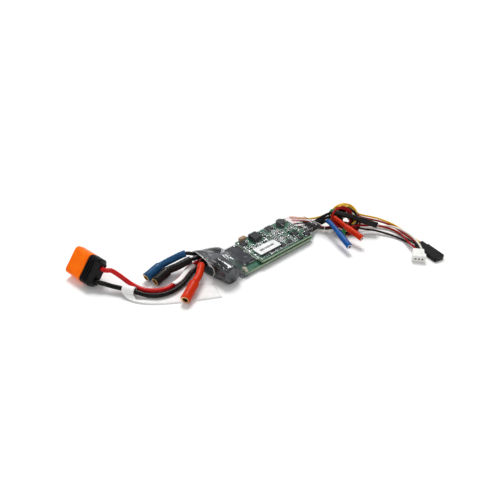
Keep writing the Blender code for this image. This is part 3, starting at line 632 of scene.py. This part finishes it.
def sleeve_stations(points, bullet, neck, step, tip):
    """Stations of a bullet's sleeve: a little wavy on the wire and on the socket, with a step between."""
    outside = bullet["outside"]
    inside = bullet["socket"] + 0.03
    ahead = (tip - step).normalized()
    stations = []
    for point in points:
        if (step - point).dot(ahead) > 0:
            swell = 0.04 * math.sin(2.1 * len(stations))
            stations.append((point, neck + swell, bullet["wire"] / 2 + 0.1))
    for reach, share in ((0.3, 0.15), (0.7, 0.5), (1.1, 0.85), (STEP_LONG, 1.0)):
        stations.append((step + ahead * reach, neck + (outside - neck) * share, inside))
    wide = (tip - step).length - STEP_LONG
    for share in (0.2, 0.4, 0.6, 0.75):
        ripple = 0.03 * math.sin(7 * share)
        stations.append((step + ahead * (STEP_LONG + wide * share), outside + ripple - 0.03, inside))
    for short, thinner in ((0.9, 0.0), (METAL_SHOWS, 0.12)):
        stations.append((tip - ahead * short, outside - thinner, inside))
    return stations


def make_motor_lead(name, colour, bullet, wire_route, sleeve_route):
    """A wire, its bullet socket, and the sleeve shrunk over the two, which steps where the socket starts."""
    start, bend, step, tip = (Vector(point) for point in sleeve_route)
    route = [*wire_route, start, bend, step, between(step, tip, 2.0)]
    line = smooth_line(route, 0.8)
    first = min(range(len(line)), key=lambda i: (line[i] - start).length)
    neck = bullet["neck"] + (0.15 if colour == "black" else 0.0)
    shade = "blue_shrink_2" if name == "motor_2_blue" else colour + "_shrink"
    stations = sleeve_stations(line[first:], bullet, neck, step, tip)
    sleeve = swept_skin(name + "_sleeve", stations, PAINT[shade])
    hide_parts(name + "_shrink")
    paint_node(name + "_socket", "gold" if name.startswith("motor_1") else "silver")
    wire = "black_silicone"
    line = smooth_line(route, 0.7 * bullet["wire"])
    lead(name + "_lead", line, bullet["wire"], wire, [name + "_wire"])


# ---------------------------------------------------------------- servo lead, data lead and their hank

SIGNAL_WIRE = 1.25
STRAND_GAP = 1.27  # between the middles of strands that touch
PARTING_ROUNDS = 100
LAYING = 0.4  # how far a later strand is taken to lie above an earlier one
STRAND_PUSH, LEAD_PUSH, MOST_PUSH = 0.35, 0.5, 0.3  # shares of an overlap, and the most in one round
LEADS_WITHIN = 3.0  # a motor lead further away is never in the way
SAME_STRAND = 4  # points of one wire this near along it don't push each other
STIFFNESS = 0.15  # share of the way to its neighbours' middle that a point moves in one round
LOWEST_MIDDLE = 0.75
WANDER, LEAST_RADIUS = 2.3, 3.4
FIXED_ENDS = 8  # points at each end of a wire that stay where they are
HANK_CENTRE = Vector((56.3, -18.4, 6.6))
HANK_AXIS = Vector((-0.20, -0.36, 0.91)).normalized()
HANK_STEP = 24  # degrees between the hank's points
UPHILL = math.radians(-30)  # the hank's strands stand apart most across this bearing

# Each signal wire: its colour, its route to the hank, then where it joins the hank and where it leaves it
# (bearings in degrees about the hank's axis), its place in the hank (radius, height, phase), its route to
# its plug and its place across it.
SIGNAL_WIRES = {
    "servo_yellow": (
        "yellow_wire",
        [(32.0, 7.6, 6.6), (36.0, 4.8, 5.8), (41.2, 0.6, 5.2), (45.0, -2.6, 5.0), (48.6, -4.6, 6.4)],
        (96, 20 - 1080),
        (8.2, 1.0, 0.0),
        [
            (71.2, -21.6, 5.6), (73.3, -23.1, 5.0), (76.3, -26.3, 4.5), (79.5, -32.2, 3.5),
            (81.3, -39.2, 2.7), (81.2, -46.0, 2.0), (80.0, -52.9, 1.6),
        ],
        1.9,
    ),
    "servo_red": (
        "red_wire",
        [(32.0, 5.6, 5.4), (36.0, 3.2, 4.6), (41.2, -0.4, 3.6), (44.6, -3.9, 3.6), (47.6, -6.0, 5.2)],
        (106, 12 - 1080),
        (7.6, -0.4, 1.6),
        [
            (69.6, -24.0, 5.2), (71.8, -25.4, 4.6), (74.8, -28.8, 4.0), (77.8, -33.6, 3.2),
            (79.7, -39.6, 2.5), (79.5, -46.0, 1.9), (78.2, -52.6, 1.6),
        ],
        0.0,
    ),
    "servo_black": (
        "black_wire",
        [(32.0, 3.6, 3.8), (36.0, 2.2, 3.0), (41.0, 0.8, 2.2), (44.2, -1.6, 2.2), (46.2, -6.6, 3.4)],
        (118, 4 - 1080),
        (7.0, -1.4, 3.0),
        [
            (68.6, -25.6, 4.4), (70.6, -27.2, 3.6), (73.2, -31.0, 2.4), (76.2, -35.4, 1.6),
            (78.0, -40.2, 1.2), (77.7, -46.0, 1.0), (76.2, -52.4, 1.2),
        ],
        -1.9,
    ),
    "data_red": (
        "red_wire",
        [(32.0, 1.2, 2.4), (36.4, 0.6, 1.8), (41.0, -1.0, 1.3), (45.2, -5.8, 1.3), (45.4, -11.0, 1.6)],
        (188, 276 + 1080),
        (6.6, 1.8, 0.4),
        [
            (63.6, -28.6, 4.0), (68.2, -31.0, 4.4), (71.2, -36.0, 4.4), (74.2, -41.2, 3.9),
            (75.6, -46.7, 3.2), (74.1, -52.8, 2.9), (70.6, -58.6, 2.9),
        ],
        -2.0,
    ),
    "data_black": (
        "black_wire",
        [(32.0, -0.6, 2.4), (36.4, -1.2, 1.8), (40.8, -2.8, 1.3), (43.6, -7.2, 1.3), (43.6, -12.0, 1.8)],
        (196, 270 + 1080),
        (6.0, 0.6, 2.2),
        [
            (62.0, -30.2, 2.6), (65.6, -32.0, 2.6), (68.6, -37.4, 2.0), (71.6, -43.4, 1.4),
            (73.4, -49.4, 1.0), (73.4, -54.6, 1.0), (71.8, -60.2, 1.5),
        ],
        0.0,
    ),
    "data_white": (
        "white_wire",
        [(32.0, -2.4, 2.4), (36.4, -3.0, 1.8), (40.2, -5.0, 1.4), (41.9, -8.6, 1.3), (41.2, -13.4, 2.0)],
        (204, 284 + 1080),
        (6.0, -1.0, 4.2),
        [
            (65.2, -26.8, 3.6), (69.4, -28.6, 3.2), (72.9, -34.0, 2.9), (76.2, -41.0, 4.6),
            (78.1, -48.4, 4.4), (76.8, -55.4, 4.4), (74.4, -61.4, 4.4),
        ],
        2.0,
    ),
}
DATA_PLUG = {"mouth": (61.8, -71.9, 0.1), "turn": 219.7, "size": (8.0, 7.9, 4.5), "entry": (8.0, 3.3)}
SERVO_PLUG = {"mouth": (72.7, -79.4, 0.1), "turn": 258.0, "size": (14.0, 7.6, 2.6), "entry": (18.2, 1.4)}


def on_hank(bearing, radius, height):
    """A point of the hank's own frame, in the object's frame, in millimetres."""
    across = Vector((1, 0, 0)) - HANK_AXIS * HANK_AXIS.x
    across.normalize()
    upward = HANK_AXIS.cross(across)
    angle = math.radians(bearing)
    reach = (across * math.cos(angle) + upward * math.sin(angle)) * radius
    return HANK_CENTRE + reach + HANK_AXIS * height


def plug_point(plug, along, offset, height):
    """A point of a plug's frame: distance behind its mouth, place across it, and height."""
    angle = math.radians(plug["turn"])
    ahead = Vector((math.cos(angle), math.sin(angle), 0))
    across = Vector((-ahead.y, ahead.x, 0))
    x, y, z = plug["mouth"]
    return Vector((x, y, z + height)) - ahead * along + across * offset


def hank_turns(first, last, radius, height, phase):
    """Points round the hank from one bearing to another. The turns wander a little, as loose wire does."""
    steps = round(abs(last - first) / HANK_STEP)
    points = []
    for step in range(steps + 1):
        bearing = first + (last - first) * step / steps
        turn = math.radians(bearing)
        edge = min(1.0, 0.5 * min(step, steps - step))
        wander = min(WANDER, radius - LEAST_RADIUS) * math.sin(0.93 * turn + phase) * edge
        lift = (2.4 * math.sin(turn - UPHILL) + 1.4 * math.sin(0.61 * turn + 2 * phase)) * edge
        x, y, z = on_hank(bearing, radius + wander, height + lift)
        points.append((x, y, max(0.8, z)))
    return points


def tree_of(points):
    """The points as a tree that finds near ones fast."""
    tree = kdtree.KDTree(len(points))
    for i, point in enumerate(points):
        tree.insert(point, i)
    tree.balance()
    return tree


def motor_lead_posts():
    """Points along the second motor's leads, each with its radius. The hank lies against them."""
    posts = []
    for _, _, bullet, wire_route, (start, bend, step, tip) in MOTOR_LEADS[3:]:
        for point in smooth_line([*wire_route[2:], start], 0.5):
            posts.append((point, bullet["wire"] / 2))
        for point in smooth_line([start, bend, step], 0.5):
            posts.append((point, bullet["neck"] + 0.15))
        for point in smooth_line([step, tip], 0.5):
            posts.append((point, bullet["outside"]))
    return posts


def push_on(place, lines, spots, strands, posts, leads):
    """How far one point of a wire moves in one round, away from the strands and leads it runs into."""
    wire, i = place
    point = lines[wire][i]
    push = Vector()
    for other, found, distance in strands.find_range(point, STRAND_GAP):
        near_wire, j = spots[found]
        if distance > 0 and (near_wire != wire or abs(i - j) > SAME_STRAND):
            away = point - other
            away.z += LAYING if (wire, i) > (near_wire, j) else -LAYING
            push += away.normalized() * (STRAND_PUSH * (STRAND_GAP - distance))
    for other, found, distance in leads.find_range(point, LEADS_WITHIN):
        needed = posts[found][1] + STRAND_GAP / 2
        if 0 < distance < needed:
            push += (point - other) * (LEAD_PUSH * (needed - distance) / distance)
    return push if push.length < MOST_PUSH else push.normalized() * MOST_PUSH


def part_strands(lines):
    """Moves the wires' points apart. Most strands end up clear of each other, but some still cross."""
    posts = motor_lead_posts()
    leads = tree_of([point for point, _ in posts])
    spots = [(wire, i) for wire, line in enumerate(lines) for i in range(len(line))]
    for _ in range(PARTING_ROUNDS):
        strands = tree_of([lines[wire][i] for wire, i in spots])
        free = [(wire, i) for wire, i in spots if FIXED_ENDS <= i < len(lines[wire]) - FIXED_ENDS]
        pushes = [push_on(place, lines, spots, strands, posts, leads) for place in free]
        for (wire, i), push in zip(free, pushes):
            lines[wire][i] = lines[wire][i] + push
        for wire, i in free:
            middle = (lines[wire][i - 1] + lines[wire][i + 1]) / 2
            lines[wire][i] = lines[wire][i].lerp(middle, STIFFNESS)
            lines[wire][i].z = max(LOWEST_MIDDLE, lines[wire][i].z)


def make_signal_leads():
    lines = []
    for name, (_, route, (first, last), place, end_route, offset) in SIGNAL_WIRES.items():
        plug = SERVO_PLUG if name.startswith("servo") else DATA_PLUG
        behind, height = plug["entry"]
        end = [plug_point(plug, behind + back, offset, height) for back in (2.6, -0.8)]
        lines.append(smooth_line([*route, *hank_turns(first, last, *place), *end_route, *end], 0.9))
    part_strands(lines)
    for (name, (colour, _, _, _, _, offset)), line in zip(SIGNAL_WIRES.items(), lines):
        servo = name.startswith("servo")
        plug = SERVO_PLUG if servo else DATA_PLUG
        pieces = [make_contact(name, plug, offset * (1.34 if servo else 1.0))]
        nodes = [name + "_stub", name + "_wire"]
        if name == "servo_yellow":
            pieces.append("servo_plug")
            nodes.append("lead_hank")
        if name == "data_red":
            pieces.append("data_plug")
        lead(name + "_lead", line, SIGNAL_WIRE, colour, nodes)


def make_contact(name, plug, offset):
    """A near-black box on a plug's mouth for one pin, painted shade in place of its square hole, with the end
    of its brass contact inside.
    """
    form = bmesh.new()
    size = 1.1
    height = plug["size"][2] / 2 - size / 2
    mouth = plug_point(plug, 0.25, offset, height)
    # The pin's hole is a dark box on the mouth: painted shade.
    add_box(form, mouth, (0.56, size, size), plug["turn"], material=0, chamfer=0.08)
    inner = plug_point(plug, 0.22, offset, height + size * 0.3)
    add_box(form, inner, (0.56, size * 0.5, size * 0.3), plug["turn"], material=1, chamfer=0.08)
    made = mesh_piece(name + "_contact", form, PAINT["painted_shade"], PAINT["gold"])
    return made


def make_ties():
    """Two green ties round the hank's strands."""
    for name, bearing in (("hank_tie_1", 112), ("hank_tie_2", 222)):
        middle = on_hank(bearing, 7.4, 0.4)
        outward = (on_hank(bearing, 9.0, 0.4) - middle).normalized()
        along = HANK_AXIS.cross(outward)
        points = []
        for step in range(36):
            angle = math.tau * 2 * step / 36
            drift = along * (2.4 * step / 36 - 1.2)
            point = middle + outward * 3.6 * math.cos(angle) + HANK_AXIS * 3.3 * math.sin(angle) + drift
            point.z = max(0.8, point.z)
            points.append(point)
        made = tube_curve(name, smooth_line(points, 0.6), 1.3, PAINT["green_tie"])


# ---------------------------------------------------------------- clear sleeve

SLEEVE_INSIDE = [
    "lower_board", "upper_board", "controller_chip", "front_driver_chip", "rear_driver_chip",
    "regulator_chip", "sense_chip", "square_inductor", "ceramic_capacitor", "round_inductor",
    "blank_label", "heat_spreader", "front_capacitor", "rear_capacitor", "battery_lead_red",
    "battery_lead_black", "motor_1_blue_wire", "motor_1_black_wire", "motor_1_red_wire",
    "motor_2_blue_wire", "motor_2_black_wire", "motor_2_red_wire", "servo_yellow_stub",
    "servo_red_stub", "servo_black_stub", "data_red_stub", "data_black_stub", "data_white_stub",
]
SLEEVE_END = 40.6
NEAR_SLEEVE = 42.0  # edges further out than this are left out
SLEEVE_SLICE = 0.35  # between rings
SLEEVE_CLEAR = 0.35  # added between the film and what it wraps
SLEEVE_SIDE, SLEEVE_LOW = 15.1, 0.03  # the film is held inside these
WINDOW, WIDE_WINDOW = 5, 12  # rings averaged on each side, and over the capacitors
TINTED_FROM, TINTED_ABOVE = 29.0, 4.5  # the x and z past which the film's back is tinted
BOARD_CORNERS = [(-13.6, 0.5), (-12.0, 6.0), (9.6, 0.5), (8.6, 6.0)]
RIDGES_LEFT, RIDGES_RIGHT, RIDGE_TURNS = -33.0, -24.0, 3.4  # folds between the capacitors and the boards
BOARD_LEFT, BOARD_RIGHT = -28.0, 33.0  # where the boards hold the film open
BEARINGS = 90
RING_POINTS = 110


def slice_points(meshes, x):
    """Where the meshes' edges cross the plane at x: (y, z) in millimetres."""
    found = []
    for vertices, edges in meshes:
        for a, b in edges:
            ax, bx = vertices[a].x, vertices[b].x
            if (ax - x) * (bx - x) <= 0 and ax != bx:
                point = vertices[a].lerp(vertices[b], (x - ax) / (bx - ax))
                found.append((point.y, point.z))
    return found


def sleeve_reach():
    """For each ring's x, how far the contents reach in each direction across the sleeve."""
    meshes = []
    for name in SLEEVE_INSIDE:
        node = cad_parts[name]
        vertices = [node.matrix_world @ v.co / MM for v in node.data.vertices]
        edges = [edge.vertices[:] for edge in node.data.edges]
        near = [(a, b) for a, b in edges if min(abs(vertices[a].x), abs(vertices[b].x)) < NEAR_SLEEVE]
        meshes.append((vertices, near))
    count = round(2 * SLEEVE_END / SLEEVE_SLICE)
    places = [-SLEEVE_END + 2 * SLEEVE_END * i / count for i in range(count + 1)]
    directions = [math.tau * k / BEARINGS for k in range(BEARINGS)]
    reach = []
    for x in places:
        points = slice_points(meshes, x)
        if BOARD_LEFT < x < BOARD_RIGHT:
            points += BOARD_CORNERS
        reach.append([max(y * math.cos(a) + z * math.sin(a) for y, z in points) for a in directions])
    return places, directions, reach


def smoothed_reach(reach):
    """Each ring's reach, averaged along the sleeve to bridge dips, but never less than its own."""
    count = len(reach)
    result = []
    for i in range(count):
        window = WIDE_WINDOW if count // 12 < i < count // 3 else WINDOW
        near = range(max(0, i - window), min(count, i + window + 1))
        row = []
        for k in range(BEARINGS):
            average = sum(reach[j][k] for j in near) / len(near)
            row.append(max(average, reach[i][k]) + SLEEVE_CLEAR)
        result.append(row)
    return result


def ring_outline(row, directions):
    """The outline, as evenly spaced points, whose reach in each direction is given."""
    corners = []
    for k in range(BEARINGS):
        a, b = directions[k], directions[(k + 1) % BEARINGS]
        first, second = row[k], row[(k + 1) % BEARINGS]
        turn = math.sin(math.tau / BEARINGS)
        y = (first * math.sin(b) - second * math.sin(a)) / turn
        z = (second * math.cos(a) - first * math.cos(b)) / turn
        corners.append(Vector((y, z)))
    start = min(range(BEARINGS), key=lambda k: abs(corners[k].x) + 4 * corners[k].y)
    corners = corners[start:] + corners[:start]
    corners.append(corners[0])
    lengths = [(q - p).length for p, q in zip(corners, corners[1:])]
    total, points, passed, i = sum(lengths), [], 0.0, 0
    for k in range(RING_POINTS):
        wanted = total * k / RING_POINTS
        while passed + lengths[i] < wanted and i < len(lengths) - 1:
            passed += lengths[i]
            i += 1
        share = (wanted - passed) / lengths[i] if lengths[i] else 0.0
        points.append(corners[i].lerp(corners[i + 1], share))
    return points


def crease(x, y, z):
    """How far the film stands off at a point: more over the capacitors than over the boards."""
    loose = 0.8 if x < -22 else 0.3
    folds = noise.noise(Vector((x * 0.22, y * 0.12, z * 0.18)))
    fine = noise.noise(Vector((x * 0.6, y * 0.35, z * 0.4)) + Vector((7, 3, 1)))
    ridges = 0.0
    if RIDGES_LEFT < x < RIDGES_RIGHT and z > 5:
        fade = math.sin(math.pi * (x - RIDGES_LEFT) / (RIDGES_RIGHT - RIDGES_LEFT))
        ridges = 0.3 * fade * (1 + math.sin(RIDGE_TURNS * x + 0.25 * y))
    return loose * (0.5 + 0.4 * folds + 0.15 * fine) + ridges


def make_sleeve():
    places, directions, reach = sleeve_reach()
    rows = smoothed_reach(reach)
    form = bmesh.new()
    rings, ends = [], []
    for i, (x, row) in enumerate(zip(places, rows)):
        outline = ring_outline(row, directions)
        middle = sum(outline, Vector((0, 0))) / len(outline)
        ring = []
        for point in outline:
            y, z = point + (point - middle).normalized() * crease(x, point.x, point.y)
            ring.append(Vector((x, max(-SLEEVE_SIDE, min(SLEEVE_SIDE, y)), max(SLEEVE_LOW, z))))
        if i in (0, len(places) - 1):
            ends.append(ring)
        rings.append([form.verts.new(p * MM) for p in ring])
    for face in join_rings(form, rings):
        x, y, z = face.calc_center_median() / MM
        if x > TINTED_FROM and y > 0 and z > TINTED_ABOVE:
            face.material_index = 1
    film = mesh_piece("shrink_film", form, PAINT["film"], PAINT["pink_film"], sharp=180)
    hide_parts("clear_sleeve")
    # The film's two open ends get thin white tubes: painted highlight of light caught on the film's edges.
    for name, ring in zip(("left_rim_highlight", "right_rim_highlight"), ends):
        rim = tube_curve(name, ring, 0.28, PAINT["white_wire"], cyclic=True)


# ---------------------------------------------------------------- detail on the boards

UPPER_TOP = 5.4  # height of the upper board's face
LABEL = (16.6, 7.2, 0.9)  # width, depth, corner radius
LABEL_MIDDLE = (-2.1, -7.5)
LABEL_FACES = (7.02, 7.18)
VENT_MIDDLE = (-34.6, -13.62, 5.9)
TAKEN = [  # (left, front, right, back) of what already stands on the upper board
    (-10.8, -11.6, 6.6, -3.4),
    (-3.6, 1.8, 3.2, 9.4),
    (-10.4, 7.4, -4.6, 10.6),
    (-12.3, 2.9, -7.3, 7.9),
    (18.8, 2.8, 26.4, 10.4),
    (10.4, 5.2, 16.0, 10.0),
    (19.0, -14.2, 23.8, -4.2),
    (5.6, -12.9, 15.6, -9.2),
]


def free_on_board(x, y, half):
    """Whether a small part there keeps clear of the larger parts on the upper board."""
    return all(x + half < a or x - half > c or y + half < b or y - half > d for a, b, c, d in TAKEN)


def make_small_parts():
    """Chip resistors and capacitors with tinned ends, at random places near a grid on the upper board."""
    dice = random.Random(11)
    form = bmesh.new()
    step = 1.75
    columns = round((29.0 + 11.8) / step)
    for column in range(columns):
        for line in range(13):
            x = -11.2 + column * step + dice.uniform(-0.2, 0.2)
            y = -12.9 + line * step + dice.uniform(-0.2, 0.2)
            if y > 9.8 or dice.random() < 0.10 or not free_on_board(x, y, 0.75):
                continue
            along = dice.choice((0, 90))
            size = dice.choice(((1.1, 0.6, 0.45), (1.4, 0.8, 0.6), (1.7, 1.0, 0.9)))
            body = dice.choice((0, 0, 0, 1, 2, 2))
            long, deep, high = size
            add_box(form, (x, y, UPPER_TOP), (long * 0.6, deep, high), along, material=body)
            turn = math.radians(along)
            for side in (-1, 1):
                shift = side * long * 0.4
                end = (x + shift * math.cos(turn), y + shift * math.sin(turn), UPPER_TOP)
                add_box(form, end, (long * 0.22, deep * 1.04, high * 1.04), along, material=3)
    for x, wide in ((7.6, 3.4), (13.4, 3.6)):
        add_box(form, (x, -11.0, UPPER_TOP), (wide, 2.4, 1.0), 0, material=0, chamfer=0.1)
    made = mesh_piece(
        "small_parts", form, PAINT["chip"], PAINT["ceramic"], PAINT["grey_part"], PAINT["silver"]
    )


def add_legs(form, centre, size, sides, pitch, high, out=0.55):
    """Legs along the named sides of a chip: for each, a foot on the board and a shin up the side."""
    x, y = centre
    wide, deep = size
    for side in sides:
        along_x = side in ("front", "back")
        span, reach = (wide, deep) if along_x else (deep, wide)
        count = int(span / pitch)
        sign = -1 if side in ("front", "left") else 1
        for i in range(count):
            shift = (i - (count - 1) / 2) * pitch
            for middle, out_long, tall in ((out / 2, out, 0.22), (0.1, 0.2, high)):
                away = sign * (reach / 2 + middle)
                place = (x + shift, y + away) if along_x else (x + away, y + shift)
                foot = (pitch * 0.42, out_long) if along_x else (out_long, pitch * 0.42)
                add_box(form, (*place, UPPER_TOP), (*foot, tall), chamfer=0.1)


def make_legs():
    form = bmesh.new()
    add_legs(form, (-2.4, -8.4), (10.0, 7.0), ("front", "left", "right"), 0.9, 0.8)
    add_legs(form, (13.2, 7.6), (4.6, 3.8), ("left", "front", "right"), 0.95, 0.9)
    add_legs(form, (21.3, -12.0), (3.6, 3.4), ("left", "right"), 0.8, 0.6)
    add_legs(form, (21.3, -6.8), (4.4, 4.2), ("left", "right", "front"), 0.85, 0.6)
    add_legs(form, (-9.8, 5.4), (4.0, 4.0), ("left", "front"), 0.9, 0.7)
    add_legs(form, (7.6, -11.0), (3.4, 2.4), ("front", "back"), 0.8, 0.6)
    add_legs(form, (13.4, -11.0), (3.6, 2.4), ("front", "back"), 0.8, 0.6)
    made = mesh_piece("chip_legs", form, PAINT["silver"])


def make_pin_row():
    """A row of soldered pins along the upper board's front edge."""
    form = bmesh.new()
    for i in range(14):
        x = 3.6 + i * 1.27
        if 18.6 < x < 24:
            continue
        add_box(form, (x, -13.4, UPPER_TOP), (0.5, 0.5, 0.9), 45, material=0, chamfer=0.3)
        add_box(form, (x, -12.2, UPPER_TOP), (0.8, 1.1, 0.55), 0, material=1, chamfer=0.15)
    made = mesh_piece("pin_row", form, PAINT["silver"], PAINT["chip"])


def blob(form, centre, size, material=0):
    """A flattened round drop of solder."""
    made = bmesh.ops.create_icosphere(form, subdivisions=3, radius=1.0)["verts"]
    for vert in made:
        vert.co *= 1 + 0.12 * noise.noise(vert.co * 1.7 + Vector(centre))
    scale = Matrix.Diagonal((size[0] * MM, size[1] * MM, size[2] * MM, 1))
    bmesh.ops.transform(form, matrix=Matrix.Translation(Vector(centre) * MM) @ scale, verts=made)
    for vert in made:
        for face in vert.link_faces:
            face.material_index = material


def make_solder():
    """Solder at the front capacitor and the signal block, and small drops here and there on the boards."""
    form = bmesh.new()
    blob(form, (-23.3, -11.2, 3.4), (1.5, 1.9, 1.0))
    blob(form, (-23.6, -13.2, 2.9), (1.1, 1.0, 0.7))
    blob(form, (26.0, -13.2, UPPER_TOP + 0.4), (1.0, 0.8, 0.6), material=1)
    blob(form, (28.3, -9.6, UPPER_TOP + 0.3), (0.7, 0.7, 0.45), material=1)
    for i in range(5):
        blob(form, (-11.4, -12.6 + i * 5.2, UPPER_TOP + 0.2), (0.55, 0.7, 0.35), material=1)
    for x, y in ((-7.0, 6.7), (16.8, -1.2), (26.4, -5.6), (9.0, 1.0), (17.4, -6.0), (24.8, -1.0)):
        blob(form, (x, y, UPPER_TOP + 0.35), (0.6, 0.6, 0.4), material=1)
    blob(form, (-15.0, 8.0, 5.3), (0.5, 0.5, 0.35), material=1)
    made = mesh_piece("solder", form, PAINT["solder"], PAINT["silver"])


def make_signal_block():
    """The grey block near the upper board's right end, and its three pins."""
    form = bmesh.new()
    add_box(form, (27.2, -12.0, UPPER_TOP + 0.1), (3.4, 3.8, 1.2), 0, material=0, chamfer=0.15)
    for i in range(3):
        add_box(form, (29.0, -13.1 + i * 1.2, UPPER_TOP + 0.1), (0.5, 0.5, 0.8), 0, material=1, chamfer=0.2)
    made = mesh_piece("signal_block", form, PAINT["heat_spreader"], PAINT["silver"])


def make_label():
    """A label with round corners and a row of plain grey strokes in place of print."""
    form = bmesh.new()
    outline = rounded_outline(*LABEL)
    across, along = LABEL_MIDDLE
    low, high = (
        [form.verts.new(Vector((x + across, y + along, z)) * MM) for x, y in outline] for z in LABEL_FACES
    )
    form.faces.new(high)
    form.faces.new(low[::-1])
    join_rings(form, [low, high])
    label = mesh_piece("label", form, PAINT["paper"])
    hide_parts("blank_label")
    dice = random.Random(5)
    marks = bmesh.new()
    x = -7.4
    while x < 3.2:
        wide = dice.uniform(0.4, 0.8)
        add_box(marks, (x, -7.6, 7.17), (wide, 1.8, 0.03), 0, chamfer=0)
        x += wide + dice.uniform(0.25, 0.35)
    made = mesh_piece("label_strokes", marks, PAINT["ink"])


def make_capacitor_ends():
    """The front capacitor's metal end, with three score lines painted near-black as painted shade in their
    grooves.
    """
    form = bmesh.new()
    turn = Matrix.Translation(Vector(VENT_MIDDLE) * MM) @ Matrix.Rotation(math.radians(90), 4, "X")
    radii = [(4.5, 0.0), (4.3, 0.12), (3.6, 0.06), (0.0, 0.06)]
    rings = []
    sides = 48
    for radius, out in radii:
        count = sides if radius else 1
        ring = []
        for k in range(count):
            angle = math.tau * k / sides
            point = Vector((radius * math.cos(angle), radius * math.sin(angle), out))
            ring.append(form.verts.new(turn @ (point * MM)))
        rings.append(ring)
    for ring, following in zip(rings, rings[1:]):
        for k in range(sides):
            j = (k + 1) % sides
            corners = [ring[k % len(ring)], ring[j % len(ring)], following[j % len(following)]]
            corners.append(following[k % len(following)])
            form.faces.new(list(dict.fromkeys(corners)))
    # The score lines are thin near-black bars: painted shade, not grooves.
    for k in range(3):
        angle = 60 * k + 15
        bar = Matrix.Rotation(math.radians(angle), 4, "Z")
        made = bmesh.ops.create_cube(form, size=1.0)["verts"]
        shape = Matrix.Translation((0, 0, 0.07 * MM)) @ Matrix.Diagonal((6.4 * MM, 0.22 * MM, 0.05 * MM, 1))
        bmesh.ops.transform(form, matrix=turn @ bar @ shape, verts=made)
        for vert in made:
            for face in vert.link_faces:
                face.material_index = 1
    made = mesh_piece("capacitor_vent", form, PAINT["can_end"], PAINT["painted_shade"])


# ---------------------------------------------------------------- tag

TAG_LOOP_RADIUS = 2.3
TAG_LOOP_ENDS = ((-85.6, 19.6, 3.7), (-81.6, 13.9, 3.0))
TAG_FRONT_EDGE = [
    (-87.4, 15.0, 1.5), (-85.4, 9.2, 1.0), (-81.2, 3.4, 0.6), (-75.6, -1.8, 0.3),
    (-67.6, -7.4, 0.2), (-58.0, -13.0, 0.2), (-46.8, -19.2, 0.2),
]
TAG_BACK_EDGE = [
    (-83.6, 9.4, 0.9), (-80.0, 7.2, 0.3), (-74.4, 8.6, 0.2), (-67.0, 9.0, 0.2),
    (-59.8, 5.6, 0.2), (-51.4, 0.4, 0.2), (-43.0, -6.8, 0.2),
]
TAG_TAIL_ROUTE = [
    (-62.4, 4.0, 4.0), (-57.4, 5.0, 4.0), (-52.0, 7.6, 4.1), (-47.2, 9.8, 4.4), (-43.8, 10.6, 4.6),
]
TAG_TAIL_WIDE = 2.6


def paper_sheet(name, rows, thick, across=6):
    """A thin sheet through rows that each run between two points."""
    form = bmesh.new()
    grid = []
    for first, second in rows:
        first, second = Vector(first), Vector(second)
        grid.append([form.verts.new(first.lerp(second, k / across) * MM) for k in range(across + 1)])
    for near, far in zip(grid, grid[1:]):
        for k in range(across):
            form.faces.new((near[k], near[k + 1], far[k + 1], far[k]))
    made = mesh_piece(name, form, PAINT["paper"], sharp=60)
    paper = made.modifiers.new("paper", "SOLIDIFY")
    paper.thickness = thick * MM
    paper.offset = 0
    return made


def make_tag():
    near_end, far_end = (Vector(point) for point in TAG_LOOP_ENDS)
    along = (far_end - near_end).normalized()
    outward = along.cross(WAY_UP).normalized()
    upward = outward.cross(along)
    fronts, backs = [], []
    steps = 22
    for step in range(steps):
        angle = math.radians(-60 + 250 * step / (steps - 1))
        reach = (upward * math.sin(angle) - outward * math.cos(angle)) * TAG_LOOP_RADIUS
        fronts.append(near_end + reach)
        backs.append(far_end + reach)
    flag_front = smooth_line([fronts[-1], *TAG_FRONT_EDGE], 1.0)
    flag_back = smooth_line([backs[-1], *TAG_BACK_EDGE], 1.0)
    count = 48
    for step in range(1, count + 1):
        fronts.append(flag_front[round(step / count * (len(flag_front) - 1))])
        backs.append(flag_back[round(step / count * (len(flag_back) - 1))])
    rows = list(zip(fronts, backs))
    tag = paper_sheet("flag_tag", rows, 0.2)
    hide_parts("blank_flag_tag")
    half = TAG_TAIL_WIDE / 2
    strip = []
    for x, y, z in smooth_line(TAG_TAIL_ROUTE, 1.0):
        strip.append(((x + half * 0.5, y - half * 0.85, z), (x - half * 0.5, y + half * 0.85, z + 0.5)))
    tail = paper_sheet("tail_strip", strip, 0.2, across=3)
    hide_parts("tag_tail")


# ---------------------------------------------------------------- the whole object


def build():
    make_stage()
    for key, names in NODE_PAINT.items():
        for name in names:
            paint_node(name, key)
    paint_node("servo_plug", "black_plastic")
    soften(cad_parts["servo_plug"], 0.25)
    soften(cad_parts["data_plug"], 0.2)
    make_sleeve()
    make_battery_leads()
    for motor_lead in MOTOR_LEADS:
        make_motor_lead(*motor_lead)
    make_signal_leads()
    make_ties()
    make_small_parts()
    make_legs()
    make_pin_row()
    make_solder()
    make_signal_block()
    make_label()
    make_capacitor_ends()
    make_tag()


build()
